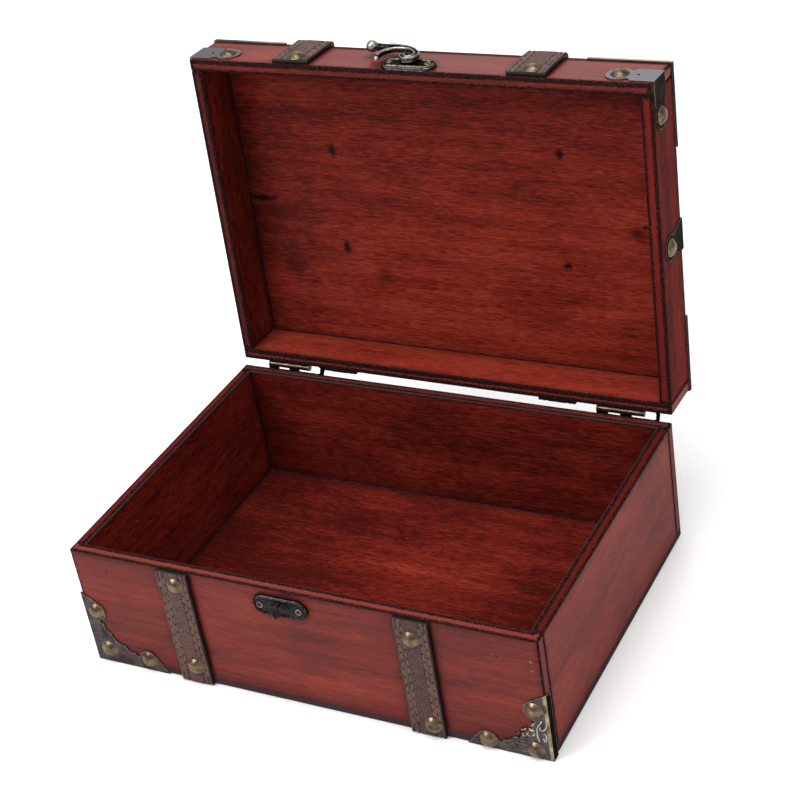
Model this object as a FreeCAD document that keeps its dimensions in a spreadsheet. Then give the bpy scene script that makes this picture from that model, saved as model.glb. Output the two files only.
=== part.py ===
import FreeCAD, Part
import Sketcher
import math
import os
import re

# Wooden storage box: a nailed base, a lid on two stop hinges, leather straps, stamped corner
# plates and a swing hook. Millimetres. Origin at the middle of the underside, +Y to the back, +Z up.

Vector = FreeCAD.Vector
Rotation = FreeCAD.Rotation
Placement = FreeCAD.Placement

doc = FreeCAD.newDocument("storage_box")
sheet = doc.addObject("Spreadsheet::Sheet", "sizes")
nodes = {}

sizes = {
    # the wooden case
    "box_width": 330,  # outside width of the case
    "box_depth": 231,  # outside depth of the case
    "base_height": 92,  # height of the base walls
    "lid_height": 37,  # height of the lid over the base rim
    "board_thick": 8,  # thickness of the wall boards
    "panel_thick": 5,  # thickness of the bottom and top panels
    "arris": 0.6,  # eased edge of the boards
    "rim_gap": 0.3,  # parting line between base and lid
    "open_angle": 92.7,  # lid angle at the hinge stops
    # leather straps
    "strap_inset_left": 79.5,  # middle of the left straps from the left end
    "strap_inset_right": 81.5,  # middle of the right straps from the right end
    "strap_width": 23.6,  # width of a base strap
    "lid_strap_width": 26.9,  # width of a lid strap
    "lid_strap_shift": -1.3,  # lid straps right of the base straps
    "strap_thick": 3.3,  # thickness of a strap
    "strap_edge": 0.4,  # eased edge of a strap
    "strap_foot": 0.6,  # strap end over the underside
    "strap_head": 1.2,  # base strap end under the rim
    "back_strap_head": 3,  # back strap end under the rim
    "lid_strap_end": 1.8,  # lid strap end over the lid rim
    # dome nails
    "dome_radius": 6,  # radius of a dome head
    "dome_height": 3.2,  # height of a dome head
    "shank_radius": 0.8,  # radius of a nail shank
    "shank_length": 5.2,  # length of a nail shank under the head
    "pilot_clearance": 0.05,  # pilot hole over its shank
    "strap_nail_drop": 13.2,  # upper strap nails under the base rim
    "strap_nail_low": 12.6,  # height of the lower strap nails
    "strap_nail_drift": 2.3,  # left nails higher and right nails lower by this
    "strap_nail_shift": 1.5,  # strap nails right of the strap middle
    "strap_nail_lean": 2.7,  # right strap's upper nail to the left and lower nail to the right
    "lid_nail_rise": 7.2,  # lid front strap nails over the lid rim
    "lid_back_nail_rise": 12,  # lid back strap nails over the lid rim
    "lid_nail_inset": 12,  # lid top strap nails in from the faces
    # stamped corner plates
    "plate_leg": 56,  # leg of a corner plate
    "plate_thick": 0.8,  # thickness of the stamped sheet
    "plate_flange": 5.5,  # folded flange of a base plate
    "lid_flange": 2.6,  # folded flange of a lid plate
    "plate_lobe_along": 42,  # lobe nail along the leg
    "plate_lobe_in": 8.2,  # lobe nail in from the edge
    "plate_lobe_radius": 7,  # radius of a plate lobe
    "plate_corner_nail": 10.3,  # corner nail in from both edges
    "plate_sink": 4.8,  # right base plate's upper leg and corner nail set lower
    "plate_lobe_sink": 2.8,  # right base plate's lower lobe set lower
    # lid corner wraps and side clips
    "wrap_height": 18.6,  # height of a corner wrap
    "wrap_rise": 2.7,  # corner wrap over the lid rim
    "wrap_nail": 24.5,  # wrap nail from the corner
    "wrap_lobe_radius": 8.8,  # radius of the wrap end
    "wrap_hole": 12.5,  # spare hole from the corner
    "wrap_hole_radius": 1.2,  # radius of the spare hole
    "clip_width": 22,  # width of a side clip at the lid edge
    "clip_nail": 21.8,  # clip nail under the lid edge
    "clip_waist": 12.4,  # waist of a side clip
    "clip_lobe_radius": 9,  # radius of the clip end
    # stop hinges
    "hinge_back": 2.65,  # hinge axis behind the back face
    "hinge_rise": 2.25,  # hinge axis over the base rim
    "hinge_inset": 36.7,  # hinge middle from its end of the box
    "barrel_length": 34,  # length of a hinge barrel
    "barrel_radius": 2.3,  # radius of a hinge barrel
    "barrel_gap": 0.3,  # gap between knuckles and round the barrel
    "pin_radius": 0.9,  # radius of a hinge pin
    "pin_clearance": 0.05,  # running clearance of a hinge pin
    "leaf_thick": 0.9,  # thickness of a hinge leaf
    "leaf_height": 14,  # height of a hinge leaf
    "leaf_drop": 0.5,  # base leaf edge under the rim
    "ear_offset": 7.7,  # stop ear from the barrel end
    "ear_thick": 1.4,  # thickness of a stop ear
    "ear_depth": 7,  # reach of a stop ear behind the back face
    "ear_height": 7,  # height of the strip that carries a stop ear
    "stop_gap": 0.15,  # gap from a stop ear to the open lid
    "leaf_screw": 10,  # leaf screws from the hinge middle
    # swing hook latch
    "latch_x": -1.7,  # hook pivot from the box middle
    "latch_rise": 9.7,  # hook pivot over the base rim
    "latch_drop": 1.8,  # hook pivot over the middle of its plate
    "catch_x": -7.6,  # catch middle from the box middle
    "catch_drop": 12,  # catch middle under the base rim
    "latch_length": 38,  # length of the latch plates
    "latch_width": 13.8,  # width of the latch plates
    "latch_thick": 2.4,  # thickness of the latch plates
    "latch_edge": 0.7,  # bevel of the latch plates
    "latch_screw": 13.9,  # latch screws from the plate middle
    "boss_radius": 4,  # radius of the pivot boss
    "boss_height": 2.1,  # height of the pivot boss
    "hook_gap": 0.2,  # hook over its boss
    "hook_thick": 2.6,  # thickness of the hook
    "hook_edge": 0.5,  # eased edge of the hook
    "eye_radius": 6.4,  # radius of the hook eye
    "prong_inner": 20.4,  # inner radius of the prong round the pivot
    "prong_width": 2.4,  # width of the prong
    "prong_bead": 1.5,  # radius of the bead at the prong tip
    "ball_radius": 3.9,  # radius of the thumb ball
    "ball_reach": 34.9,  # thumb ball from the pivot
    "ball_angle": 159.4,  # thumb ball direction from +X
    "scroll_radius": 3.9,  # outer radius of the scroll groove
    "scroll_width": 0.9,  # width of the scroll groove
    "rivet_radius": 1.5,  # radius of the pivot rivet
    "rivet_head": 2.4,  # radius of the rivet head
    "rivet_head_height": 0.6,  # height of the rivet head
    "lug_width": 4.6,  # width of the catch post
    "lug_height": 2.2,  # height of the catch post
    "lug_rise": 5,  # post middle over the catch middle
    "tongue_gap": 0.4,  # tongue over the latched prong
    "tongue_thick": 1.3,  # thickness of the catch tongue
    "tongue_length": 9.6,  # length of the catch tongue
    "tongue_lean": -0.8,  # sideways lean of the tongue tip
    # screws and brads
    "screw_head": 2.2,  # radius of a screw head
    "screw_head_height": 0.9,  # height of a screw head
    "screw_radius": 0.9,  # radius of a screw shank
    "screw_length": 5,  # screw length under the head
    "brad_inset": 6.1,  # brads in from the right end
    "brad_drop": 16.5,  # upper brad under the base rim
    "brad_step": 6.5,  # upper to lower brad
    "brad_radius": 0.5,  # radius of a brad shank
    "brad_head": 0.9,  # radius of a brad head
    "brad_head_height": 0.35,  # height of a brad head
    "brad_length": 18,  # length of a brad shank
}
for row, (alias, number) in enumerate(sizes.items(), 1):
    sheet.set("A%d" % row, alias)
    sheet.set("B%d" % row, str(number))
    sheet.setAlias("B%d" % row, alias)
doc.recompute()


def value(alias):
    return float(sheet.get(alias))


def words(text):
    return re.sub(r"[a-z]+(?:_[a-z]+)*", lambda found: "sizes." + found.group(0), text)


halfWidth = value("box_width") / 2
halfDepth = value("box_depth") / 2
baseTop = value("base_height")
lidRim = baseTop + value("rim_gap")
lidTop = baseTop + value("lid_height")
sheetThick = value("plate_thick")
strapThick = value("strap_thick")
hingeY = halfDepth + value("hinge_back")
hingeZ = baseTop + value("hinge_rise")

# the lid is drawn closed and turned open about the hinge axis
opened = Placement(Vector(0, 0, 0), Rotation(Vector(-1, 0, 0), value("open_angle")), Vector(0, hingeY, hingeZ))

front = Vector(0, -1, 0)
back = Vector(0, 1, 0)
up = Vector(0, 0, 1)


def originPlane(body, role):
    return [part for part in body.Origin.OriginFeatures if part.Role == role][0]


def sketchOn(body, role, name):
    sketch = body.newObject("Sketcher::SketchObject", name)
    sketch.AttachmentSupport = (originPlane(body, role), "")
    sketch.MapMode = "FlatFace"
    return sketch


def pad(body, sketch, length, name):
    feature = body.newObject("PartDesign::Pad", name)
    feature.Profile = sketch
    feature.setExpression("Length", words(length))
    body.Tip = feature
    doc.recompute()
    return feature


def bevel(body, feature, edges, amount):
    cut = body.newObject("PartDesign::Chamfer", body.Name + "_bevel")
    cut.Base = (feature, edges)
    cut.setExpression("Size", words(amount))
    body.Tip = cut
    doc.recompute()


def rectangle(sketch, wide, deep):
    corners = [Vector(0, 0, 0), Vector(1, 0, 0), Vector(1, 1, 0), Vector(0, 1, 0)]
    for line in range(4):
        sketch.addGeometry(Part.LineSegment(corners[line], corners[(line + 1) % 4]))
    for line in range(4):
        sketch.addConstraint(Sketcher.Constraint("Coincident", line, 2, (line + 1) % 4, 1))
        sketch.addConstraint(Sketcher.Constraint("Vertical" if line % 2 else "Horizontal", line))
    sketch.addConstraint(Sketcher.Constraint("Coincident", 0, 1, -1, 1))
    for kind, line, name, amount in (("DistanceX", 0, "wide", wide), ("DistanceY", 1, "deep", deep)):
        sketch.addConstraint(Sketcher.Constraint(kind, line, 1, line, 2, 1))
        sketch.renameConstraint(sketch.ConstraintCount - 1, name)
        sketch.setExpression("Constraints." + name, words(amount))


# a straight piece with eased edges, from its low corner and its three lengths
def plank(name, corner, lengths, ease):
    body = doc.addObject("PartDesign::Body", name + "_blank")
    outline = sketchOn(body, "XY_Plane", name + "_outline")
    for axis, place in zip("xyz", corner):
        outline.setExpression("AttachmentOffset.Base." + axis, words(place))
    rectangle(outline, lengths[0], lengths[1])
    block = pad(body, outline, lengths[2], name + "_block")
    bevel(body, block, ["Edge%d" % (edge + 1) for edge in range(len(block.Shape.Edges))], ease)
    return body


# draws a closed path: each step is (end,) for a line or (way, end) for an arc
def trace(sketch, path):
    here = path[-1][-1]
    for step in path:
        if len(step) == 1:
            sketch.addGeometry(Part.LineSegment(here, step[0]))
        else:
            sketch.addGeometry(Part.Arc(here, step[0], step[1]))
        here = step[-1]


def flat(across, along):
    return Vector(across, along, 0)


def mirrored(path, swap):
    ends = [step[-1] for step in path]
    ways = [step[0] if len(step) == 2 else None for step in path]
    backward = []
    for place in range(len(path) - 1, 0, -1):
        end = swap(ends[place - 1])
        backward.append((end,) if ways[place] is None else (swap(ways[place]), end))
    return backward


# turned solid of a head and a shank about +Z, with the head seated on z = 0
def fastener(headPath, shankRadius, shankLength):
    corners = [flat(shankRadius, 0), flat(shankRadius, -shankLength), flat(0, -shankLength)]
    edges = []
    here = flat(0, -shankLength)
    for step in headPath:
        if len(step) == 1:
            edges.append(Part.makeLine(here, step[0]))
        else:
            edges.append(Part.Arc(here, step[0], step[1]).toShape())
        here = step[-1]
    for corner in corners:
        edges.append(Part.makeLine(here, corner))
        here = corner
    profile = Part.Face(Part.Wire(edges))
    turned = profile.revolve(Vector(0, 0, 0), Vector(0, 1, 0), 360)
    turned.rotate(Vector(0, 0, 0), Vector(1, 0, 0), 90)
    return turned


def domeNail():
    radius = value("dome_radius")
    height = value("dome_height")
    ball = (radius ** 2 + height ** 2) / (2 * height)
    slope = math.asin(radius / ball) / 2
    way = flat(ball * math.sin(slope), height - ball + ball * math.cos(slope))
    head = [(flat(0, height),), (way, flat(radius, 0))]
    return fastener(head, value("shank_radius"), value("shank_length"))


def flatHead(radius, height, shankRadius, shankLength):
    ease = height / 3
    head = [
        (flat(0, height),),
        (flat(radius - ease, height),),
        (flat(radius, height - ease),),
        (flat(radius, 0),),
    ]
    return fastener(head, shankRadius, shankLength)


def screw():
    head = value("screw_head")
    return flatHead(head, value("screw_head_height"), value("screw_radius"), value("screw_length"))


def brad():
    head = value("brad_head")
    return flatHead(head, value("brad_head_height"), value("brad_radius"), value("brad_length"))


# a spot is the seat of a fastener's head and the way the head faces
def standing(spot):
    seat, facing = spot
    return Placement(seat, Rotation(up, facing))


def fastenerGroup(label, solid, spots, hang):
    copies = []
    for spot in spots:
        copy = solid.copy()
        copy.Placement = standing(spot).multiply(solid.Placement)
        copies.append(copy)
    group = doc.addObject("Part::Feature", label)
    group.Shape = Part.makeCompound(copies)
    group.Placement = hang
    nodes[label] = group


def pilots(spots, radius, length):
    spare = value("pilot_clearance")
    reach = radius + spare
    drills = []
    for spot in spots:
        drill = Part.makeCylinder(reach, length + spare + reach, Vector(0, 0, -length - spare))
        drill.Placement = standing(spot).multiply(drill.Placement)
        drills.append(drill)
    return drills


def nailPilots(spots):
    return pilots(spots, value("shank_radius"), value("shank_length"))


def screwPilots(spots):
    return pilots(spots, value("screw_radius"), value("screw_length"))


def drillTool(label, drills):
    tool = doc.addObject("Part::Feature", label)
    tool.Shape = Part.makeCompound(drills)
    return tool


def cutBy(label, blank, tool, hang):
    cut = doc.addObject("Part::Cut", label)
    cut.Base = blank
    cut.Tool = tool
    cut.Placement = hang
    nodes[label] = cut
    return cut


# corner plate in its own frame: legs along +X and +Y, face outward along +Z, wood under z = 0
def plateSinks(name):
    if name == "base_corner_plate_right":
        return value("plate_lobe_sink"), value("plate_sink")
    return 0, 0


def cornerPlate(name, flange):
    leg = value("plate_leg")
    lobeSink, sink = plateSinks(name)
    along = value("plate_lobe_along")
    inset = value("plate_lobe_in")
    lobe = value("plate_lobe_radius")

    def lobeAt(angle):
        turn = math.radians(angle)
        return flat(inset + lobe * math.cos(turn), along + lobe * math.sin(turn))

    def swap(point):
        return flat(point.y, point.x)

    def lowered(steps, drop):
        return [tuple(flat(point.x - drop, point.y) for point in step) for step in steps]

    cusp = flat(0.28 * leg, 0.44 * leg)
    notch = flat(0.205 * leg, 0.565 * leg)
    half = [
        (flat(-sheetThick, leg),),
        (lobeAt(55),),
        (lobeAt(0), lobeAt(-72)),
        (flat(0.155 * leg, 0.595 * leg), notch),
        (flat(0.215 * leg, 0.475 * leg), cusp),
    ]
    valley = (flat(0.325 * leg, 0.325 * leg), swap(cusp))
    path = half[:1] + lowered(half[1:], lobeSink) + lowered([valley] + mirrored(half, swap), sink)
    path.append((flat(-sheetThick, -sheetThick),))
    body = doc.addObject("PartDesign::Body", name + "_blank")
    face = sketchOn(body, "XY_Plane", name + "_face")
    trace(face, path)
    pad(body, face, "plate_thick", name + "_sheet")
    for role, offset, reach in (("XZ_Plane", 0, leg - sink), ("YZ_Plane", -sheetThick, leg)):
        edge = sketchOn(body, role, name + "_" + role[0].lower() + "_fold")
        edge.AttachmentOffset = Placement(Vector(0, 0, offset), Rotation())
        low = -value(flange)
        tip = reach - value(flange) / 2
        start = -sheetThick
        corners = [(start, low), (tip, low), (reach, sheetThick), (start, sheetThick)]
        trace(edge, [(flat(*corner),) for corner in corners])
        pad(body, edge, "plate_thick", name + "_" + role[0].lower() + "_flange")
    return body


def basePlate(name):
    return cornerPlate(name, "plate_flange")


def lidPlate(name):
    return cornerPlate(name, "lid_flange")


def plateSpots(name, stand):
    lobeSink, sink = plateSinks(name)
    along = value("plate_lobe_along")
    inset = value("plate_lobe_in")
    middle = value("plate_corner_nail")
    seats = [
        Vector(inset - lobeSink, along, sheetThick),
        Vector(middle - sink, middle, sheetThick),
        Vector(along - sink, inset, sheetThick),
    ]
    return [(stand.multVec(seat), stand.Rotation.multVec(up)) for seat in seats]


# frame of a corner plate from its corner and the directions of its two legs
def plateStand(corner, legX, legY):
    return Placement(corner, Rotation(legX, legY, legX.cross(legY), "XYZ"))


# corner wrap in its own frame: arms along +X and +Y from the wood's corner, middle at z = 0
def cornerWrap(name):
    half = value("wrap_height") / 2
    reach = value("wrap_nail")
    lobe = value("wrap_lobe_radius")
    shoulder = 0.62 * reach
    neck = 0.75 * reach
    bite = math.sqrt(lobe ** 2 - (reach - neck) ** 2)
    waist = (half + bite) / 2 - 0.1 * half

    def turnOver(point):
        return flat(point.x, -point.y)

    lower = [
        (flat(-sheetThick, -half),),
        (flat(shoulder, -half),),
        (flat((shoulder + neck) / 2, -waist), flat(neck, -bite)),
    ]
    path = lower + [(flat(reach + lobe, 0), flat(neck, bite))] + mirrored(lower, turnOver)
    body = doc.addObject("PartDesign::Body", name + "_blank")
    for role, offset in (("XZ_Plane", 0), ("YZ_Plane", -sheetThick)):
        arm = sketchOn(body, role, name + "_" + role[0].lower() + "_arm")
        arm.AttachmentOffset = Placement(Vector(0, 0, offset), Rotation())
        trace(arm, path)
        hole = Part.Circle(flat(value("wrap_hole"), 0), Vector(0, 0, 1), value("wrap_hole_radius"))
        arm.addGeometry(hole)
        pad(body, arm, "plate_thick", name + "_" + role[0].lower() + "_band")
    return body


def wrapSpots(stand):
    reach = value("wrap_nail")
    seats = [(Vector(reach, -sheetThick, 0), front), (Vector(-sheetThick, reach, 0), Vector(-1, 0, 0))]
    return [(stand.multVec(seat), stand.Rotation.multVec(facing)) for seat, facing in seats]


# side clip in its own frame: hangs down the wood's face x = 0 from the edge z = 0
def sideClip(name):
    half = value("clip_width") / 2
    waist = value("clip_waist") / 2
    drop = value("clip_nail")
    lobe = value("clip_lobe_radius")
    waistDrop = drop - math.sqrt(lobe ** 2 - waist ** 2)

    def turnOver(point):
        return flat(-point.x, point.y)

    side = [
        (flat(-half, sheetThick),),
        (flat(-0.88 * half, -0.5 * waistDrop), flat(-waist, -waistDrop)),
    ]
    path = side + [(flat(0, -drop - lobe), flat(waist, -waistDrop))] + mirrored(side, turnOver)
    body = doc.addObject("PartDesign::Body", name + "_blank")
    face = sketchOn(body, "YZ_Plane", name + "_face")
    trace(face, path)
    pad(body, face, "plate_thick", name + "_sheet")
    fold = sketchOn(body, "XY_Plane", name + "_fold")
    inner = -value("plate_flange")
    corners = [(inner, -half), (sheetThick, -half), (sheetThick, half), (inner, half)]
    trace(fold, [(flat(*corner),) for corner in corners])
    pad(body, fold, "plate_thick", name + "_flange")
    return body


def clipSpot(stand):
    seat = stand.multVec(Vector(sheetThick, 0, -value("clip_nail")))
    return (seat, stand.Rotation.multVec(Vector(1, 0, 0)))


# strap bent over the lid's front, top and back
def lidStrap(name, middle):
    low = lidRim + value("lid_strap_end")
    outer = halfDepth + strapThick
    high = lidTop + strapThick
    bend = 0.8 * strapThick
    ease = bend * (1 - math.sqrt(0.5))
    path = [
        (flat(-outer, low),),
        (flat(-outer, high - bend),),
        (flat(-outer + ease, high - ease), flat(-outer + bend, high)),
        (flat(outer - bend, high),),
        (flat(outer - ease, high - ease), flat(outer, high - bend)),
        (flat(outer, low),),
        (flat(halfDepth, low),),
        (flat(halfDepth, lidTop),),
        (flat(-halfDepth, lidTop),),
        (flat(-halfDepth, low),),
    ]
    body = doc.addObject("PartDesign::Body", name + "_blank")
    section = sketchOn(body, "YZ_Plane", name + "_section")
    section.setExpression("AttachmentOffset.Base.z", words(middle + " + lid_strap_shift - lid_strap_width / 2"))
    trace(section, path)
    pad(body, section, "lid_strap_width", name + "_band")
    return body


# rounded latch plate on the front face, bevelled all round its outer face
def latchPlate(name, middle):
    reach = value("latch_length") / 2
    half = value("latch_width") / 2
    straight = reach - half

    def at(across, along):
        return flat(middle.x + across, middle.z + along)

    body = doc.addObject("PartDesign::Body", name + "_blank")
    outline = sketchOn(body, "XZ_Plane", name + "_outline")
    outline.setExpression("AttachmentOffset.Base.z", words("box_depth / 2"))
    path = [
        (at(straight, -half),),
        (at(reach, 0), at(straight, half)),
        (at(-straight, half),),
        (at(-reach, 0), at(-straight, -half)),
    ]
    trace(outline, path)
    plate = pad(body, outline, "latch_thick", name + "_plate")
    face = -halfDepth - value("latch_thick")
    rim = []
    for number, edge in enumerate(plate.Shape.Edges):
        reach = max(abs(edge.BoundBox.YMin - face), abs(edge.BoundBox.YMax - face))
        if reach < value("latch_edge"):
            rim.append("Edge%d" % (number + 1))
    bevel(body, plate, rim, "latch_edge")
    return body


def latchSpots(middle):
    face = -halfDepth - value("latch_thick")
    reach = value("latch_screw")
    return [(Vector(middle.x + side * reach, face, middle.z), front) for side in (-1, 1)]


# a drawing on the front face, pulled outward from its height over that face
def frontPad(body, name, path, height, length):
    sketch = sketchOn(body, "XZ_Plane", name + "_outline")
    sketch.setExpression("AttachmentOffset.Base.z", words("box_depth / 2 + " + height))
    trace(sketch, path)
    return sketch, pad(body, sketch, length, name)


def disc(body, name, middle, radius, height, length):
    sketch = sketchOn(body, "XZ_Plane", name + "_outline")
    sketch.setExpression("AttachmentOffset.Base.z", words("box_depth / 2 + " + height))
    sketch.addGeometry(Part.Circle(flat(middle.x, middle.z), Vector(0, 0, 1), radius))
    return pad(body, sketch, length, name)


def box(name, corner, lengths):
    block = doc.addObject("Part::Box", name)
    for axis, place in zip("xyz", corner):
        block.setExpression("Placement.Base." + axis, words(place))
    for side, length in zip(("Length", "Width", "Height"), lengths):
        block.setExpression(side, words(length))
    return block


# round bar along +X on the hinge axis
def bar(name, start, length, radius):
    rod = doc.addObject("Part::Cylinder", name)
    rod.Placement = Placement(Vector(0, 0, 0), Rotation(Vector(0, 1, 0), 90))
    rod.setExpression("Placement.Base.x", words(start))
    rod.setExpression("Placement.Base.y", words("box_depth / 2 + hinge_back"))
    rod.setExpression("Placement.Base.z", words("base_height + hinge_rise"))
    rod.setExpression("Radius", words(radius))
    rod.setExpression("Height", words(length))
    return rod


# hinge leaf with two of the four knuckles, necked to its plate
def hingeLeaf(name, middle, first, plateLow, neckLow, neckHigh):
    start = middle + " - barrel_length / 2"
    backFace = "box_depth / 2"
    pieces = [box(name + "_plate", (start, backFace, plateLow), ("barrel_length", "leaf_thick", "leaf_height"))]
    for turn in (first, first + 2):
        here = start + " + %d * barrel_length / 4 + barrel_gap / 2" % turn
        length = "barrel_length / 4 - barrel_gap"
        tangent = "box_depth / 2 + hinge_back - barrel_radius"
        neck = box(name + "_neck%d" % turn, (here, tangent, neckLow), (length, "leaf_thick", neckHigh))
        pieces.append(neck)
        pieces.append(bar(name + "_knuckle%d" % turn, here, length, "barrel_radius"))
    return pieces


def hingeBore(name, middle):
    return bar(name + "_bore", middle + " - barrel_length", "2 * barrel_length", "pin_radius + pin_clearance")


# ear behind the back face whose upper edge stops the open lid
def stopEar(name, middle):
    swing = math.radians(value("open_angle"))
    strip = baseTop - value("leaf_drop")

    def stopHeight(place):
        lift = value("hinge_back") - value("stop_gap") + math.cos(swing) * (place - hingeY)
        return hingeZ + lift / math.sin(swing)

    tail = halfDepth + value("ear_depth")
    foot = strip - value("ear_height")
    outline = [
        (halfDepth, foot),
        (hingeY, foot),
        (tail, strip),
        (tail, stopHeight(tail)),
        (hingeY, stopHeight(hingeY)),
        (hingeY, strip),
        (halfDepth, strip),
        (halfDepth, foot),
    ]
    left = middle + value("barrel_length") / 2 + value("ear_offset")
    wire = Part.makePolygon([Vector(left, place, height) for place, height in outline])
    ear = doc.addObject("Part::Feature", name + "_ear")
    ear.Shape = Part.Face(wire).extrude(Vector(value("ear_thick"), 0, 0))
    return ear


def fused(name, pieces):
    joined = doc.addObject("Part::MultiFuse", name)
    joined.Shapes = pieces
    return joined


def leafSpots(middle, height):
    face = halfDepth + value("leaf_thick")
    reach = value("leaf_screw")
    return [(Vector(middle + side * reach, face, height), back) for side in (-1, 1)]


# where every fastener goes
strapMiddles = {"left": value("strap_inset_left") - halfWidth, "right": halfWidth - value("strap_inset_right")}
hingeMiddles = {"left": value("hinge_inset") - halfWidth, "right": halfWidth - value("hinge_inset")}
sideSign = {"left": -1, "right": 1}
shift = value("strap_nail_shift")

baseStrapSpots = []
lidStrapSpots = []
for side, middle in strapMiddles.items():
    drift = -sideSign[side] * value("strap_nail_drift")
    lean = value("strap_nail_lean") if side == "right" else 0
    for aside, height in ((-lean, baseTop - value("strap_nail_drop")), (lean, value("strap_nail_low"))):
        baseStrapSpots.append((Vector(middle + shift + aside, -halfDepth - strapThick, height + drift), front))
        baseStrapSpots.append((Vector(middle, halfDepth + strapThick, height - drift), back))
    frontNail = Vector(middle + shift, -halfDepth - strapThick, lidRim + value("lid_nail_rise"))
    backNail = Vector(middle, halfDepth + strapThick, lidRim + value("lid_back_nail_rise"))
    lidStrapSpots.append((frontNail, front))
    lidStrapSpots.append((backNail, back))
    for end in (-1, 1):
        topNail = Vector(middle, end * (halfDepth - value("lid_nail_inset")), lidTop + strapThick)
        lidStrapSpots.append((topNail, up))

east = Vector(1, 0, 0)
west = Vector(-1, 0, 0)
basePlates = {
    "base_corner_plate_left": plateStand(Vector(-halfWidth, -halfDepth, sheetThick), east, up),
    "base_corner_plate_right": plateStand(Vector(halfWidth, -halfDepth, sheetThick), up, west),
}
lidPlates = {
    "lid_corner_plate_front_left": plateStand(Vector(-halfWidth, -halfDepth, lidTop), east, back),
    "lid_corner_plate_front_right": plateStand(Vector(halfWidth, -halfDepth, lidTop), back, west),
    "lid_corner_plate_back_left": plateStand(Vector(-halfWidth, halfDepth, lidTop), front, east),
    "lid_corner_plate_back_right": plateStand(Vector(halfWidth, halfDepth, lidTop), west, front),
}
wrapMiddle = lidRim + value("wrap_rise") + value("wrap_height") / 2
lidWraps = {
    "lid_corner_wrap_left": Placement(Vector(-halfWidth, -halfDepth, wrapMiddle), Rotation()),
    "lid_corner_wrap_right": Placement(Vector(halfWidth, -halfDepth, wrapMiddle), Rotation(up, 90)),
}
lidClips = {
    "lid_side_clip_left": Placement(Vector(-halfWidth, 0, lidTop), Rotation(up, 180)),
    "lid_side_clip_right": Placement(Vector(halfWidth, 0, lidTop), Rotation()),
}
baseCornerSpots = [spot for name, stand in basePlates.items() for spot in plateSpots(name, stand)]
lidCornerSpots = [spot for name, stand in lidPlates.items() for spot in plateSpots(name, stand)]
lidWrapSpots = [spot for stand in lidWraps.values() for spot in wrapSpots(stand)]
lidClipSpots = [clipSpot(stand) for stand in lidClips.values()]

pivot = Vector(value("latch_x"), 0, baseTop + value("latch_rise"))
latchMiddle = pivot - Vector(0, 0, value("latch_drop"))
catch = Vector(value("catch_x"), 0, baseTop - value("catch_drop"))
baseLeafHeight = baseTop - value("leaf_drop") - value("leaf_height") / 2
lidLeafLow = hingeZ + value("barrel_radius") + value("barrel_gap")
lidLeafHeight = lidLeafLow + value("leaf_height") / 2
baseLeafSpots = [spot for middle in hingeMiddles.values() for spot in leafSpots(middle, baseLeafHeight)]
lidLeafSpots = [spot for middle in hingeMiddles.values() for spot in leafSpots(middle, lidLeafHeight)]
bradSpots = []
for step in (0, 1):
    bradHeight = baseTop - value("brad_drop") - step * value("brad_step")
    bradSpots.append((Vector(halfWidth - value("brad_inset"), -halfDepth, bradHeight), front))

baseDrills = nailPilots(baseStrapSpots + baseCornerSpots)
baseDrills += screwPilots(latchSpots(catch) + baseLeafSpots)
baseDrills += pilots(bradSpots, value("brad_radius"), value("brad_length"))
lidDrills = nailPilots(lidStrapSpots + lidCornerSpots + lidWrapSpots + lidClipSpots)
lidDrills += screwPilots(latchSpots(latchMiddle) + lidLeafSpots)
baseTool = drillTool("base_pilots", baseDrills)
lidTool = drillTool("lid_pilots", lidDrills)
still = Placement()

# boards: front and back run the full width, the sides stand between them
insideDepth = "box_depth - 2 * board_thick"
insideWidth = "box_width - 2 * board_thick"
westFace = "-box_width / 2"
southFace = "-box_depth / 2"
innerSouth = "-box_depth / 2 + board_thick"
innerWest = "-box_width / 2 + board_thick"
innerNorth = "box_depth / 2 - board_thick"
innerEast = "box_width / 2 - board_thick"


def frame(prefix, low, height, panelLow, panelName, tool, hang):
    walls = {
        "front_board": ((westFace, southFace, low), ("box_width", "board_thick", height)),
        "back_board": ((westFace, innerNorth, low), ("box_width", "board_thick", height)),
        "left_side": ((westFace, innerSouth, low), ("board_thick", insideDepth, height)),
        "right_side": ((innerEast, innerSouth, low), ("board_thick", insideDepth, height)),
        panelName: ((innerWest, innerSouth, panelLow), (insideWidth, insideDepth, "panel_thick")),
    }
    for part, (corner, lengths) in walls.items():
        name = prefix + "_" + part
        cutBy(name, plank(name, corner, lengths, "arris"), tool, hang)


# the base front board is also let in for the plates' lower flanges
flangeCuts = list(baseDrills)
for stand in basePlates.values():
    room = value("plate_leg")
    depth = value("plate_flange") + value("pilot_clearance")
    corner = stand.Base
    westEnd = min(corner.x, corner.x - room * corner.x / abs(corner.x))
    flangeCuts.append(Part.makeBox(room, depth, sheetThick, Vector(westEnd, -halfDepth, 0)))
frontTool = drillTool("base_front_cuts", flangeCuts)

frame("base", "0 * base_height", "base_height", "0 * base_height", "bottom_panel", baseTool, still)
nodes["base_front_board"].Tool = frontTool
lidLow = "base_height + rim_gap"
lidWall = "lid_height - rim_gap"
frame("lid", lidLow, lidWall, "base_height + lid_height - panel_thick", "top_panel", lidTool, opened)

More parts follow.
